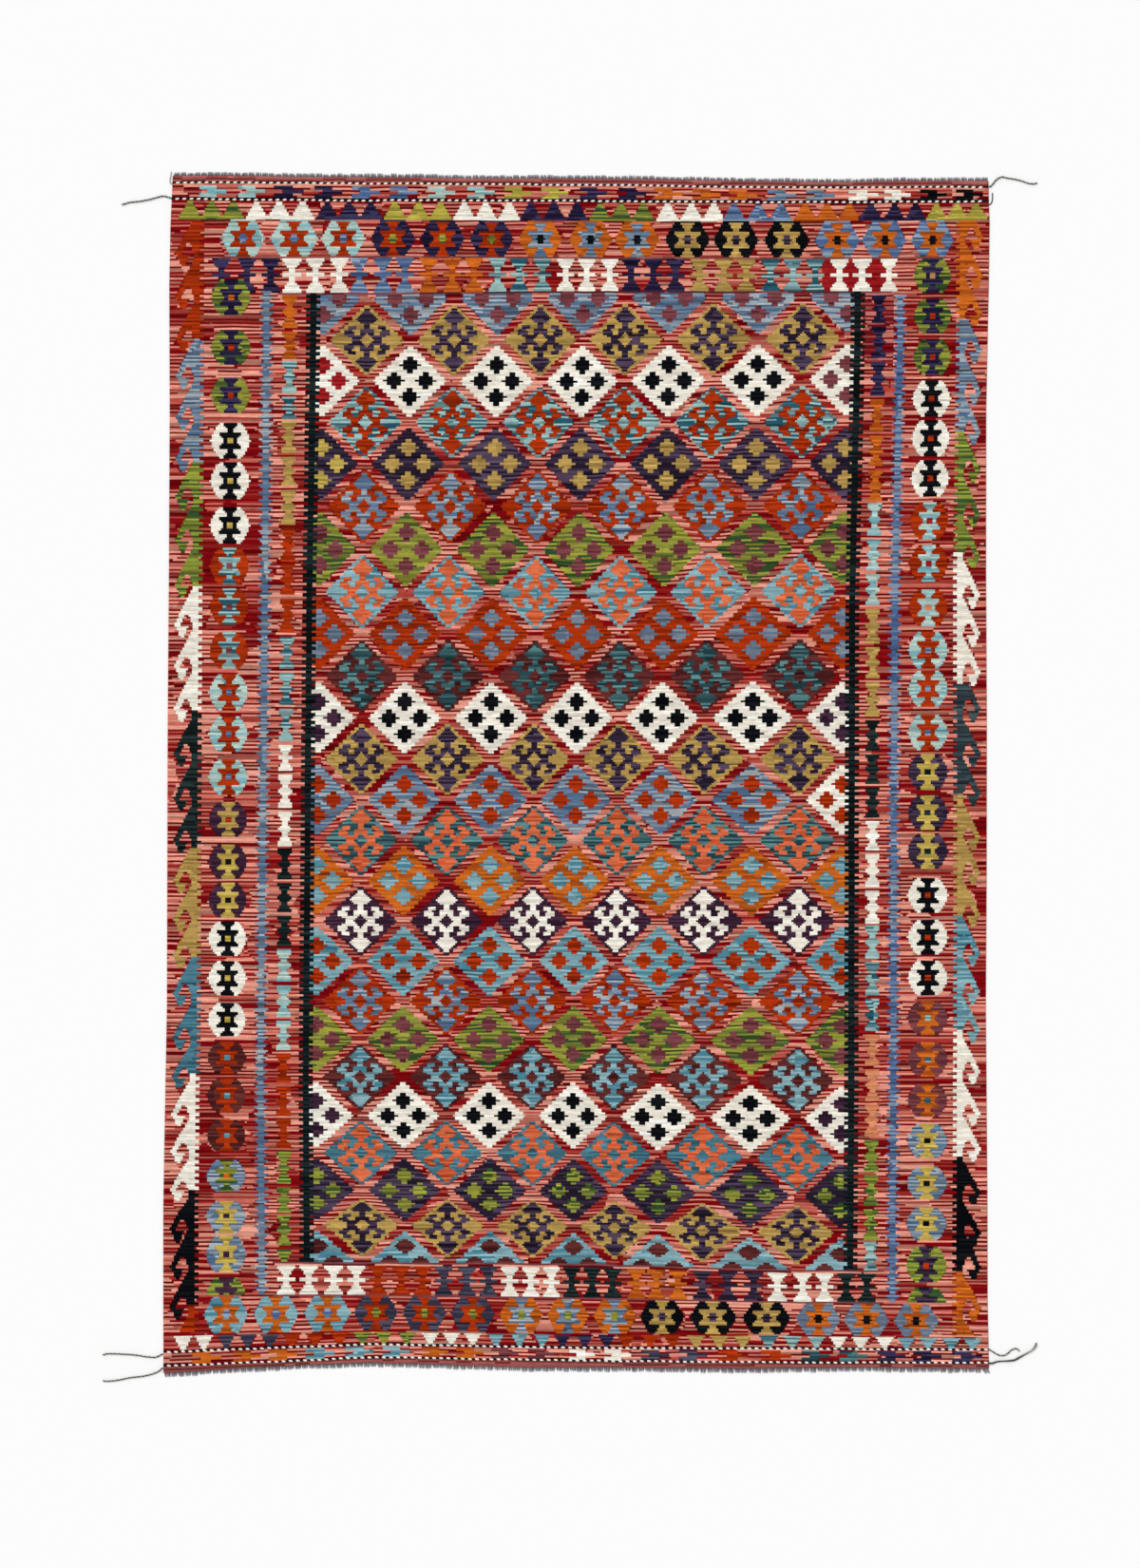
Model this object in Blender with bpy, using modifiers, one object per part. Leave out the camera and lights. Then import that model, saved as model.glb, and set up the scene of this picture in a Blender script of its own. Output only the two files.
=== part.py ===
"""A hand-woven kilim rug, lying flat, with its cut warp fringe and the loose tails of its twined rows.

Metres, +Z up, +X to the rug's right, +Y towards its head. The origin is at the middle of the rug on
the floor.
"""
import bisect
import math
import random

import bmesh
import bpy
from mathutils import Vector

# Sizes
CLOTH_THICKNESS = 0.003
CLOTH_SWELL = 0.0003  # how far the beaten weft rises and falls over the cloth
CLEARANCE = 0.0003  # between neighbouring pieces
COLUMNS = 28
PLAIN_ROWS = 40
PLAIN_FROM, PLAIN_TO = 0.025, 0.975  # of the cloth's length, between the twined rows

# Where the cloth stops at each side.
SIDE_EDGES = (  # y, left x, right x
    (-1.490, -1.0285, 1.0220),
    (-1.307, -1.0290, 1.0180),
    (-1.071, -1.0290, 1.0175),
    (-0.812, -1.0245, 1.0155),
    (-0.576, -1.0200, 1.0135),
    (-0.245, -1.0190, 1.0155),
    (0.132, -1.0180, 1.0160),
    (0.510, -1.0150, 1.0140),
    (0.911, -1.0130, 1.0145),
    (1.218, -1.0140, 1.0210),
    (1.371, -1.0110, 1.0230),
    (1.430, -1.0080, 1.0210),
    (1.500, -1.0050, 1.0200),
)

# Where the cloth stops at its head and at its foot.
HEAD_EDGE = (  # x, y
    (-1.030, 1.4890),
    (-0.868, 1.4890),
    (-0.632, 1.4855),
    (-0.396, 1.4845),
    (-0.278, 1.4820),
    (-0.042, 1.4820),
    (0.194, 1.4797),
    (0.430, 1.4750),
    (0.665, 1.4725),
    (0.783, 1.4760),
    (1.030, 1.4760),
)
FOOT_EDGE = (  # x, y
    (-1.030, -1.4840),
    (-0.928, -1.4770),
    (-0.817, -1.4700),
    (-0.632, -1.4615),
    (-0.515, -1.4575),
    (-0.373, -1.4610),
    (-0.113, -1.4695),
    (0.075, -1.4690),
    (0.430, -1.4725),
    (0.689, -1.4690),
    (1.030, -1.4726),
)

# Twined rows that lie over the weave, counted inwards from the end of the cloth.
TWINED_ROWS = {  # end: distances
    "head": (0.015, 0.056),
    "foot": (0.017, 0.050),
}
TWINED_HEIGHT = 0.0008
TWINED_HALF_WIDTH = 0.0025

# Cut warp ends.
FRINGE_THICKNESS = 0.0018
FRINGE_STRIP = 0.0025
FRINGE_LOCKS = 120
LOCK_WIDTH_SHARE = 0.78  # of the space that a lock has
LOCK_TIP_SHARES = (0.62, 0.95)  # of its root's width, narrowest and widest
LOCK_TIP_SLOPE = 0.86  # the shorter tip corner's least share of the longer
LOCK_LEAN = 0.0016
LOCK_SEED = 11
LOCK_LENGTHS = {"head": (0.0050, 0.0085), "foot": (0.0075, 0.0110)}  # shortest, longest
CORNER_TUFT_LEAN = 0.0080  # the last lock at the foot's right corner stands out sideways

# Loose tails of the twined rows, laid on the floor.
STEPS_PER_TURN = 6
STRAIGHT_OUT = 0.003  # along which a tail leaves square to the edge
TAIL_POINT_SPACING = 0.006  # where the twist asks for nothing closer
PLY_SIDES = 6
LOBE_ACROSS, LOBE_UP, WAIST_UP = 0.75, 0.46, 0.24  # of half the width, on two plies side by side
YARN_COLOURS = {
    "ivory": (0.62, 0.57, 0.50),
    "black": (0.03, 0.03, 0.04),
    "black_and_ivory": (0.20, 0.19, 0.18),
}
TAILS = {  # name: yarn, width, length of one turn, side, y where it leaves the cloth, then its route
    "tail_head_left_outer": ("ivory", 0.0024, None, "left", 1.469, (
        (-1.0120, 1.4730), (-1.0122, 1.4780), (-1.0115, 1.4830),
        (-1.0105, 1.4880), (-1.0095, 1.4935), (-1.0095, 1.4995))),
    "tail_head_left_inner": ("black_and_ivory", 0.0044, 0.0106, "left", 1.434, (
        (-1.024, 1.438), (-1.034, 1.438), (-1.052, 1.433), (-1.063, 1.430), (-1.074, 1.428),
        (-1.084, 1.426), (-1.103, 1.424), (-1.113, 1.423), (-1.122, 1.420), (-1.132, 1.417))),
    "tail_head_right_outer": ("black_and_ivory", 0.0044, 0.0106, "right", 1.462, (
        (1.031, 1.469), (1.039, 1.479), (1.049, 1.485), (1.056, 1.486), (1.063, 1.484),
        (1.075, 1.482), (1.087, 1.480), (1.099, 1.477), (1.111, 1.473), (1.120, 1.470),
        (1.132, 1.469), (1.141, 1.471))),
    "tail_head_right_inner": ("black", 0.0024, None, "right", 1.418, (
        (1.0270, 1.4205), (1.0290, 1.4250), (1.0300, 1.4300),
        (1.0305, 1.4350), (1.0305, 1.4400), (1.0300, 1.4470))),
    "tail_foot_left_inner": ("black_and_ivory", 0.0044, 0.0106, "left", -1.437, (
        (-1.041, -1.442), (-1.051, -1.445), (-1.062, -1.444), (-1.074, -1.443), (-1.091, -1.440),
        (-1.109, -1.438), (-1.127, -1.437), (-1.146, -1.436), (-1.169, -1.436), (-1.179, -1.439))),
    "tail_foot_left_outer": ("black_and_ivory", 0.0044, 0.0106, "left", -1.472, (
        (-1.038, -1.478), (-1.050, -1.484), (-1.063, -1.488), (-1.082, -1.492), (-1.109, -1.495),
        (-1.124, -1.498), (-1.139, -1.501), (-1.154, -1.503), (-1.169, -1.504), (-1.179, -1.503))),
    "tail_foot_right_inner": ("black_and_ivory", 0.0042, 0.0125, "right", -1.426, (
        (1.029, -1.430), (1.036, -1.434), (1.043, -1.438), (1.053, -1.4405), (1.061, -1.439),
        (1.068, -1.435), (1.074, -1.429), (1.080, -1.425), (1.087, -1.423), (1.093, -1.425),
        (1.097, -1.430))),
    "tail_foot_right_outer": ("black_and_ivory", 0.0056, 0.150, "right", -1.460, (
        (1.030, -1.460), (1.041, -1.456), (1.055, -1.454), (1.069, -1.453), (1.084, -1.451),
        (1.096, -1.445), (1.107, -1.439), (1.122, -1.431), (1.131, -1.425), (1.137, -1.417),
        (1.140, -1.409))),
}
SPLINE_STEPS = 12  # points worked out between two of a route's own


def on_table(rows, key, column):
    """Reads a table of rising keys, straight between its rows."""
    keys = [row[0] for row in rows]
    after = min(max(bisect.bisect_right(keys, key), 1), len(rows) - 1)
    low, high = rows[after - 1], rows[after]
    share = (key - low[0]) / (high[0] - low[0])
    return low[column] + (high[column] - low[column]) * share


def side_edge(y, side):
    return on_table(SIDE_EDGES, y, 1 if side == "left" else 2)


def end_corner(end, side):
    """Where the cloth's end edge meets its side edge."""
    table = HEAD_EDGE if end == "head" else FOOT_EDGE
    x = table[0][0] if side == "left" else table[-1][0]
    for _ in range(4):
        y = on_table(table, x, 1)
        x = side_edge(y, side)
    return Vector((x, y))


def end_points(end):
    """The cloth's edge at one end, a point for each column, left to right."""
    table = HEAD_EDGE if end == "head" else FOOT_EDGE
    left = end_corner(end, "left").x
    right = end_corner(end, "right").x
    xs = [left + (right - left) * column / COLUMNS for column in range(COLUMNS + 1)]
    return [(x, on_table(table, x, 1)) for x in xs]


def twined_rows(share, distance):
    """The three rows of points that raise one twined row, foot to head."""
    return [
        (share, distance - TWINED_HALF_WIDTH, 0.0),
        (share, distance, TWINED_HEIGHT),
        (share, distance + TWINED_HALF_WIDTH, 0.0),
    ]


def cloth_rows():
    """Each row of points, foot to head: its share of the length, its shift from there, its rise."""
    rows = [(0.0, 0.0, 0.0)]
    for distance in TWINED_ROWS["foot"]:
        rows += twined_rows(0.0, distance)
    for row in range(PLAIN_ROWS + 1):
        rows.append((PLAIN_FROM + (PLAIN_TO - PLAIN_FROM) * row / PLAIN_ROWS, 0.0, 0.0))
    for distance in reversed(TWINED_ROWS["head"]):
        rows += twined_rows(1.0, -distance)
    return rows + [(1.0, 0.0, 0.0)]


def swell(x, y):
    """The slow rise and fall of the cloth's upper face."""
    broad = math.sin(2.3 * x + 1.7 * math.sin(1.9 * y))
    narrow = math.sin(5.1 * y + 2.2 * math.sin(2.7 * x + 0.6))
    return CLOTH_SWELL * (0.6 * broad + 0.4 * narrow)


def material(name, colour, roughness):
    made = bpy.data.materials.new(name)
    made.use_nodes = True
    shader = made.node_tree.nodes["Principled BSDF"]
    shader.inputs["Base Color"].default_value = (*colour, 1.0)
    shader.inputs["Roughness"].default_value = roughness
    shader.inputs["Metallic"].default_value = 0.0
    return made


def border_of(mesh):
    return [edge for edge in mesh.edges if edge.is_boundary]


def mesh_data(name, mesh):
    data = bpy.data.meshes.new(name)
    mesh.to_mesh(data)
    mesh.free()
    return data


def add_object(name, data, collection, finish=None):
    piece = bpy.data.objects.new(name, data)
    collection.objects.link(piece)
    if finish:
        piece.data.materials.append(finish)
    return piece


def make_cloth(collection, finish):
    """One woven sheet: an uneven upper face, an upright rim and a flat underside on the floor."""
    foot = end_points("foot")
    head = end_points("head")
    rows = cloth_rows()
    mesh = bmesh.new()
    bmesh.ops.create_grid(mesh, x_segments=COLUMNS, y_segments=len(rows) - 1, size=1.0)
    for point in mesh.verts:
        column = round((point.co.x + 1.0) / 2.0 * COLUMNS)
        share, shift, rise = rows[round((point.co.y + 1.0) / 2.0 * (len(rows) - 1))]
        y = foot[column][1] + (head[column][1] - foot[column][1]) * share + shift
        left = side_edge(y, "left")
        x = left + (side_edge(y, "right") - left) * column / COLUMNS
        if rise == shift == 0.0 and share in (0.0, 1.0):
            x = (head if share else foot)[column][0]
        point.co = (x, y, CLOTH_THICKNESS + swell(x, y) + rise)
    skirt = bmesh.ops.extrude_edge_only(mesh, edges=border_of(mesh))["geom"]
    for point in (item for item in skirt if isinstance(item, bmesh.types.BMVert)):
        point.co.z = 0.0
    bmesh.ops.contextual_create(mesh, geom=border_of(mesh))
    bmesh.ops.recalc_face_normals(mesh, faces=mesh.faces)
    return add_object("kilim_cloth", mesh_data("kilim_cloth", mesh), collection, finish)


def lock_places(end):
    """Each lock's two root places and its two tip corners, left to right."""
    away = 1.0 if end == "head" else -1.0
    edge = end_points(end)
    shortest, longest = LOCK_LENGTHS[end]
    draw = random.Random(f"{end}{LOCK_SEED}")
    space = (edge[-1][0] - edge[0][0]) / FRINGE_LOCKS
    places = []
    for lock in range(FRINGE_LOCKS):
        middle = edge[0][0] + space * (lock + 0.5)
        root = space * LOCK_WIDTH_SHARE / 2.0
        tip = root * draw.uniform(*LOCK_TIP_SHARES)
        lean = draw.uniform(-LOCK_LEAN, LOCK_LEAN)
        length = draw.uniform(shortest, longest)
        if end == "foot" and lock == FRINGE_LOCKS - 1:
            lean = CORNER_TUFT_LEAN
            length = longest
        base = on_table(edge, middle, 1) + away * (CLEARANCE + FRINGE_STRIP)
        tips = [
            (middle - tip + lean, base + away * length),
            (middle + tip + lean, base + away * length * draw.uniform(LOCK_TIP_SLOPE, 1.0)),
        ]
        places.append(((middle - root, middle + root), tips))
    return places


def make_fringe(end, collection, finish):
    """A narrow strip along the cloth's edge with the cut warp ends standing out of it in locks."""
    away = 1.0 if end == "head" else -1.0
    edge = end_points(end)
    places = lock_places(end)
    stops = [edge[0][0]] + [x for roots, tips in places for x in roots] + [edge[-1][0]]
    mesh = bmesh.new()
    bmesh.ops.create_grid(mesh, x_segments=len(stops) - 1, y_segments=1, size=1.0)
    outer_points = {}
    for point in mesh.verts:
        stop = round((point.co.x + 1.0) / 2.0 * (len(stops) - 1))
        reach = CLEARANCE
        if point.co.y * away > 0.0:
            outer_points[stop] = point
            reach += FRINGE_STRIP
        point.co = (stops[stop], on_table(edge, stops[stop], 1) + away * reach, 0.0)
    lock_starts = range(1, len(stops) - 1, 2)
    roots = [mesh.edges.get((outer_points[stop], outer_points[stop + 1])) for stop in lock_starts]
    grown = bmesh.ops.extrude_edge_only(mesh, edges=roots)["geom"]
    corners = [item for item in grown if isinstance(item, bmesh.types.BMVert)]
    corners.sort(key=lambda corner: corner.co.x)
    for corner, tip in zip(corners, [tip for place in places for tip in place[1]]):
        corner.co = (*tip, 0.0)
    bmesh.ops.recalc_face_normals(mesh, faces=mesh.faces)
    if mesh.faces[:][0].normal.z < 0.0:
        bmesh.ops.reverse_faces(mesh, faces=mesh.faces)
    piece = add_object(f"fringe_{end}", mesh_data(f"fringe_{end}", mesh), collection, finish)
    body = piece.modifiers.new("thickness", "SOLIDIFY")
    body.thickness = FRINGE_THICKNESS
    body.offset = 1.0
    return piece


def smooth_route(points):
    """A smooth curve through the points (Catmull-Rom), as many short steps."""
    route = [Vector((x, y, 0.0)) for x, y in points]
    padded = [2 * route[0] - route[1], *route, 2 * route[-1] - route[-2]]
    steps = []
    for before, start, stop, after in zip(padded, padded[1:], padded[2:], padded[3:]):
        for step in range(SPLINE_STEPS):
            t = step / SPLINE_STEPS
            steps.append(0.5 * (
                2 * start
                + (stop - before) * t
                + (2 * before - 5 * start + 4 * stop - after) * t ** 2
                + (3 * start - before - 3 * stop + after) * t ** 3
            ))
    return steps + [route[-1]]


def even_points(route, spacing):
    """Points along the route, as near to this far apart as an even spacing allows, and their places."""
    reached = [0.0]
    for start, stop in zip(route, route[1:]):
        reached.append(reached[-1] + (stop - start).length)
    table = [(far, *point) for far, point in zip(reached, route)]
    count = max(2, round(reached[-1] / spacing))
    marks = [reached[-1] * step / count for step in range(count + 1)]
    points = [Vector([on_table(table, mark, axis) for axis in (1, 2, 3)]) for mark in marks]
    return points, marks


def ply_section(width, twisted, guides):
    """The cut face of a tail: one round ply, or two lying side by side."""
    if twisted:
        half = [(1.0, 0.0), (LOBE_ACROSS, -LOBE_UP), (0.0, -WAIST_UP), (-LOBE_ACROSS, -LOBE_UP)]
        corners = half + [(-x, -y) for x, y in half]
    else:
        turns = [math.tau * side / PLY_SIDES for side in range(PLY_SIDES)]
        corners = [(math.cos(turn), -math.sin(turn)) for turn in turns]
    curve = bpy.data.curves.new("ply_section", "CURVE")
    curve.dimensions = "2D"
    spline = curve.splines.new("POLY")
    spline.points.add(len(corners) - 1)
    for place, (x, y) in zip(spline.points, corners):
        place.co = (x * width / 2.0, y * width / 2.0, 0.0, 1.0)
    spline.use_cyclic_u = True
    section = add_object("ply_section", curve, guides)
    section.hide_render = True
    section.display_type = "WIRE"
    return section


def make_tail(name, collection, guides, finish):
    """A loose tail of twined yarn from the cloth's side edge, flat on the floor."""
    width, turn, side, leaves_at, route = TAILS[name][1:]
    outwards = -1.0 if side == "left" else 1.0
    exit_x = side_edge(leaves_at, side) + outwards * CLEARANCE
    start = [(exit_x, leaves_at), (exit_x + outwards * STRAIGHT_OUT, leaves_at)]
    spacing = min(turn / STEPS_PER_TURN, TAIL_POINT_SPACING) if turn else TAIL_POINT_SPACING
    points, marks = even_points(smooth_route(start + list(route)), spacing)
    first_lean = abs((points[1] - points[0]).normalized().y)
    clear_of_edge = outwards * first_lean * width / 2.0
    curve = bpy.data.curves.new(name, "CURVE")
    curve.dimensions = "3D"
    curve.bevel_mode = "OBJECT"
    curve.bevel_object = ply_section(width, bool(turn), guides)
    curve.use_fill_caps = True
    spline = curve.splines.new("POLY")
    spline.points.add(len(points) - 1)
    for place, point, mark in zip(spline.points, points, marks):
        place.co = (point.x + clear_of_edge, point.y, width / 2.0, 1.0)
        place.tilt = math.tau * mark / turn if turn else 0.0
    return add_object(name, curve, collection, finish)


def new_collection(name):
    made = bpy.data.collections.new(name)
    bpy.context.scene.collection.children.link(made)
    return made


def main():
    for old in list(bpy.data.objects):
        bpy.data.objects.remove(old, do_unlink=True)
    rug = new_collection("kilim_rug")
    guides = new_collection("sections")
    make_cloth(rug, material("crimson_wool", (0.33, 0.05, 0.06), 0.92))
    for end in ("head", "foot"):
        make_fringe(end, rug, material(f"warp_ends_{end}", (0.19, 0.21, 0.27), 0.95))
    for name, tail in TAILS.items():
        make_tail(name, rug, guides, material(f"yarn_{name}", YARN_COLOURS[tail[0]], 0.9))


main()
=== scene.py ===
# A slit-woven wool kilim lying flat on a pale floor, seen from straight above: columns of stepped
# diamonds and hook crosses on a striped crimson ground, patterned borders all round, two rows of
# black and white twining across each end, short warp fringe and loose tails at the corners.
# Metres, +Y to the head of the rug, +Z up from the floor. The pattern is charted in weave cells:
# rows of cells are counted from the head, columns of cells from the left edge.

import bisect
import math
import random
from types import SimpleNamespace

import bpy
import numpy as np
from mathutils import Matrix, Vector


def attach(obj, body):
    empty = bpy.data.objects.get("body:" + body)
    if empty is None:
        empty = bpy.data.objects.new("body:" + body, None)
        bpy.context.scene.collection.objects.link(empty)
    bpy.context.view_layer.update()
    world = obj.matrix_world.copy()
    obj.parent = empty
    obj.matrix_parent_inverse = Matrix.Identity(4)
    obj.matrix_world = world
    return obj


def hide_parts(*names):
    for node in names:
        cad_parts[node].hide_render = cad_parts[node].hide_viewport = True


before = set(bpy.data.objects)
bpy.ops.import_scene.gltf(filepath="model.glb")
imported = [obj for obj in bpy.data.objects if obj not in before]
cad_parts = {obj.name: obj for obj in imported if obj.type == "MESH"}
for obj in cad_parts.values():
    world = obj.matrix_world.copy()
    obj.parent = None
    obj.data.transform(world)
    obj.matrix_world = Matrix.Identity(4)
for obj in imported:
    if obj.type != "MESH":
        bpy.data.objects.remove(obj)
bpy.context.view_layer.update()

# ---------------------------------------------------------------- sizes of the cloth
CLOTH_THICKNESS = 0.003
CLOTH_SWELL = 0.0003
CLEARANCE = 0.0003
UNDERSIDE_LIFT = 0.0002
SLIT_DIP = 0.0005  # how far the cloth sinks beside a slit between two colours
EDGE_DROP = 0.0006  # the worn roundness of the outermost cells
WARP_PITCH = 0.0026
WEFT_PITCH = 0.0023  # of one weft, over every other warp
SKIRT_SHARE = 0.4  # of a weave cell, shown again on the cloth's own edge
YARN_ROUNDNESS = 0.6
SLIT_SHARE = 0.09  # of a weave cell's width
SLIT_LIGHT = 0.45  # of the yarn's own, left in the painted shade down in a slit
ROW_SHADE = 0.5  # of a slit's painted shade, for the painted shadow under each row
ROW_SHADE_SHARE = 0.12  # of a row of cells, in shadow under the row above
WEFT_BOW = 0.0034
WEFT_WAVER = 0.0012  # how far a row of weft wanders from straight
WARP_WAVER = 0.0006
FACE_WAVER = 0.00015  # how far the upper face rises and falls from cell to cell
BOW_FADE = 8.0  # cells over which the wefts' bow sets in
SEEDS = {"wefts": 21, "warps": 22, "face": 23, "dye": 5, "parts": 31, "drift": 32, "fringe": 11}

SIDE_EDGES = (  # y, left x, right x
    (-1.490, -1.0285, 1.0220),
    (-1.307, -1.0290, 1.0180),
    (-1.071, -1.0290, 1.0175),
    (-0.812, -1.0245, 1.0155),
    (-0.576, -1.0200, 1.0135),
    (-0.245, -1.0190, 1.0155),
    (0.132, -1.0180, 1.0160),
    (0.510, -1.0150, 1.0140),
    (0.911, -1.0130, 1.0145),
    (1.218, -1.0140, 1.0210),
    (1.371, -1.0110, 1.0230),
    (1.430, -1.0080, 1.0210),
    (1.500, -1.0050, 1.0200),
)
HEAD_EDGE = (  # x, y
    (-1.030, 1.4890), (-0.868, 1.4890), (-0.632, 1.4855), (-0.396, 1.4845), (-0.278, 1.4820),
    (-0.042, 1.4820), (0.194, 1.4797), (0.430, 1.4750), (0.665, 1.4725), (0.783, 1.4760),
    (1.030, 1.4760),
)
FOOT_EDGE = (  # x, y
    (-1.030, -1.4840), (-0.928, -1.4770), (-0.817, -1.4700), (-0.632, -1.4615),
    (-0.515, -1.4575), (-0.373, -1.4610), (-0.113, -1.4695), (0.075, -1.4690),
    (0.430, -1.4725), (0.689, -1.4690), (1.030, -1.4726),
)

# ---------------------------------------------------------------- the grid of weave cells
ROWS = 648
COLUMNS = 412
KEY_COLUMNS = (
    30.5, 48.5, 59.5, 70.5, 97.5, 141.5, 185.5, 229.5, 273.5, 317.5, 344.5, 354.5, 365.5, 382.5, 397.0,
)
COLUMN_BENDS = (  # row, then the x of each key column there
    (87, (-0.860, -0.773, -0.715, -0.656, -0.523, -0.306, -0.092, 0.118, 0.338, 0.560,
          0.695, 0.750, 0.801, 0.882, 0.949)),
    (218, (-0.865, -0.777, -0.720, -0.666, -0.535, -0.321, -0.104, 0.106, 0.322, 0.553,
           0.682, 0.733, 0.788, 0.871, 0.942)),
    (334, (-0.867, -0.782, -0.727, -0.670, -0.538, -0.324, -0.109, 0.099, 0.313, 0.551,
           0.680, 0.733, 0.785, 0.869, 0.943)),
    (482, (-0.870, -0.788, -0.731, -0.675, -0.541, -0.328, -0.113, 0.089, 0.311, 0.548,
           0.679, 0.733, 0.784, 0.870, 0.942)),
    (574, (-0.872, -0.785, -0.729, -0.673, -0.534, -0.323, -0.111, 0.091, 0.309, 0.544,
           0.677, 0.728, 0.782, 0.865, 0.941)),
)
KEY_X = (-1.010, -0.503, 0.005, 0.512, 1.010)
ROW_BENDS = (  # row, then its y at each key x
    (3.5, (1.473, 1.470, 1.467, 1.460, 1.461)),
    (12, (1.432, 1.428, 1.427, 1.423, 1.425)),
    (22.5, (1.383, 1.382, 1.379, 1.378, 1.381)),
    (33, (1.336, 1.335, 1.333, 1.331, 1.331)),
    (43.5, (1.285, 1.288, 1.285, 1.284, 1.286)),
    (53, (1.241, 1.245, 1.243, 1.241, 1.244)),
    (62.5, (1.195, 1.196, 1.200, 1.200, 1.199)),
    (87.5, (1.082, 1.080, 1.081, 1.084, 1.086)),
    (109.5, (0.981, 0.980, 0.978, 0.983, 0.983)),
    (153.5, (0.775, 0.774, 0.774, 0.774, 0.776)),
    (219.5, (0.458, 0.455, 0.453, 0.458, 0.460)),
    (285.5, (0.145, 0.142, 0.142, 0.143, 0.144)),
    (329.5, (-0.059, -0.061, -0.061, -0.061, -0.061)),
    (395.5, (-0.359, -0.362, -0.362, -0.361, -0.361)),
    (439.5, (-0.557, -0.561, -0.559, -0.562, -0.562)),
    (461.5, (-0.654, -0.656, -0.656, -0.658, -0.661)),
    (483.5, (-0.746, -0.748, -0.749, -0.758, -0.760)),
    (505.5, (-0.843, -0.845, -0.846, -0.852, -0.854)),
    (527.5, (-0.935, -0.937, -0.939, -0.951, -0.953)),
    (549.5, (-1.027, -1.030, -1.032, -1.044, -1.048)),
    (571.5, (-1.113, -1.115, -1.120, -1.134, -1.138)),
    (590, (-1.207, -1.208, -1.212, -1.227, -1.232)),
    (599.5, (-1.248, -1.250, -1.256, -1.266, -1.270)),
    (608, (-1.290, -1.289, -1.296, -1.306, -1.310)),
    (618, (-1.338, -1.330, -1.339, -1.345, -1.357)),
    (628, (-1.388, -1.378, -1.385, -1.388, -1.395)),
    (637, (-1.431, -1.412, -1.421, -1.423, -1.426)),
    (644.5, (-1.466, -1.444, -1.453, -1.457, -1.458)),
)

# ---------------------------------------------------------------- the yarns
YARNS = {  # main tone, tone of its streaks, how far its rows alternate, how many are dark
    "ground": ("#7e060e", "#e89c88", 1.0, 0.27),
    "rose": ("#90403c", "#a85f5a", 0.9, 0.25),
    "ivory": ("#f4eee1", "#ddd2be", 0.6, 0.0),
    "black": ("#06080c", "#17191e", 0.8, 0.0),
    "slate": ("#0f1819", "#293838", 0.9, 0.1),
    "soot": ("#0a1113", "#1d2a2c", 1.0, 0.1),
    "charcoal": ("#26343a", "#465459", 1.0, 0.1),
    "navy": ("#1d1530", "#423a5e", 0.9, 0.1),
    "navy_grey": ("#302e40", "#5a5668", 0.9, 0.1),
    "purple": ("#241a2c", "#54435a", 1.0, 0.15),
    "aubergine": ("#301a2c", "#4e3044", 0.9, 0.1),
    "khaki": ("#bd9b55", "#9b7c42", 0.9, 0.05),
    "yellow": ("#c9ae55", "#a98f42", 0.9, 0.0),
    "olive": ("#bcae48", "#8f8538", 0.9, 0.05),
    "lime": ("#97a03c", "#38552e", 1.0, 0.2),
    "green": ("#9a9a3c", "#2f4e2a", 1.0, 0.15),
    "pale_teal": ("#b9cdc2", "#78adb6", 1.0, 0.08),
    "teal": ("#9cbfbc", "#265868", 1.0, 0.1),
    "deep_teal": ("#4f8092", "#2f5c6a", 1.0, 0.1),
    "dark_teal": ("#24444c", "#5e8a8c", 1.0, 0.18),
    "steel_blue": ("#526e8e", "#a4adb2", 1.0, 0.2),
    "light_blue": ("#8ab0b8", "#4a8496", 1.0, 0.1),
    "blue": ("#45628f", "#8a9bb0", 1.0, 0.15),
    "grey_blue": ("#5c6c82", "#86919e", 0.9, 0.06),
    "rust": ("#b4360c", "#8c2408", 1.0, 0.08),
    "coral": ("#dd7048", "#c4502c", 1.0, 0.06),
    "orange": ("#cf6a20", "#a84a16", 1.0, 0.08),
    "salmon": ("#dc9068", "#c56c46", 0.9, 0.06),
    "crimson": ("#8e1016", "#a8282a", 0.9, 0.05),
    "deep_ground": ("#7a0a14", "#cc7a70", 1.0, 0.18),
    "maroon": ("#80444a", "#5a272c", 0.9, 0.1),
    "brown": ("#662e2c", "#3c1617", 0.9, 0.1),
    "tan": ("#bc8850", "#a2723c", 0.9, 0.05),
}
ROSE_BLEND = np.array((1.3, 2.2, 2.3))  # from dark red to salmon the red comes first, through rose
YARN_BLEND = 1.8  # how late the streaks' tone comes in the other yarns
FIRST_LEAN = 0.25  # to the one tone or the other, where an area of one yarn begins
FIRST_SWING = (0.6, 1.1)  # between the two tones
LEAN_KEPT = 0.93  # from one row to the next
LEAN_DRIFT = 0.11
SWING_RANGE = (0.4, 1.2)
SWING_DRIFT = 0.1
TURN_CHANCES = {1: 0.6, -1: 0.82}  # of going over to the other tone in the next row
LEAST_SHARED = 0.3  # of a run, for it to go on with the area above it
MIDDLE_TONE = 0.37
TONE_REACH = 0.6
TONE_SCATTER = 0.16
ROW_SHADES = 0.1
DARK_ROW_SHADES = (0.45, 0.7)
WEFT_DRIFT = 0.15  # how far a row's shade drifts along it
YARN_NUMBERS = {name: number for number, name in enumerate(YARNS)}

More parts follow.
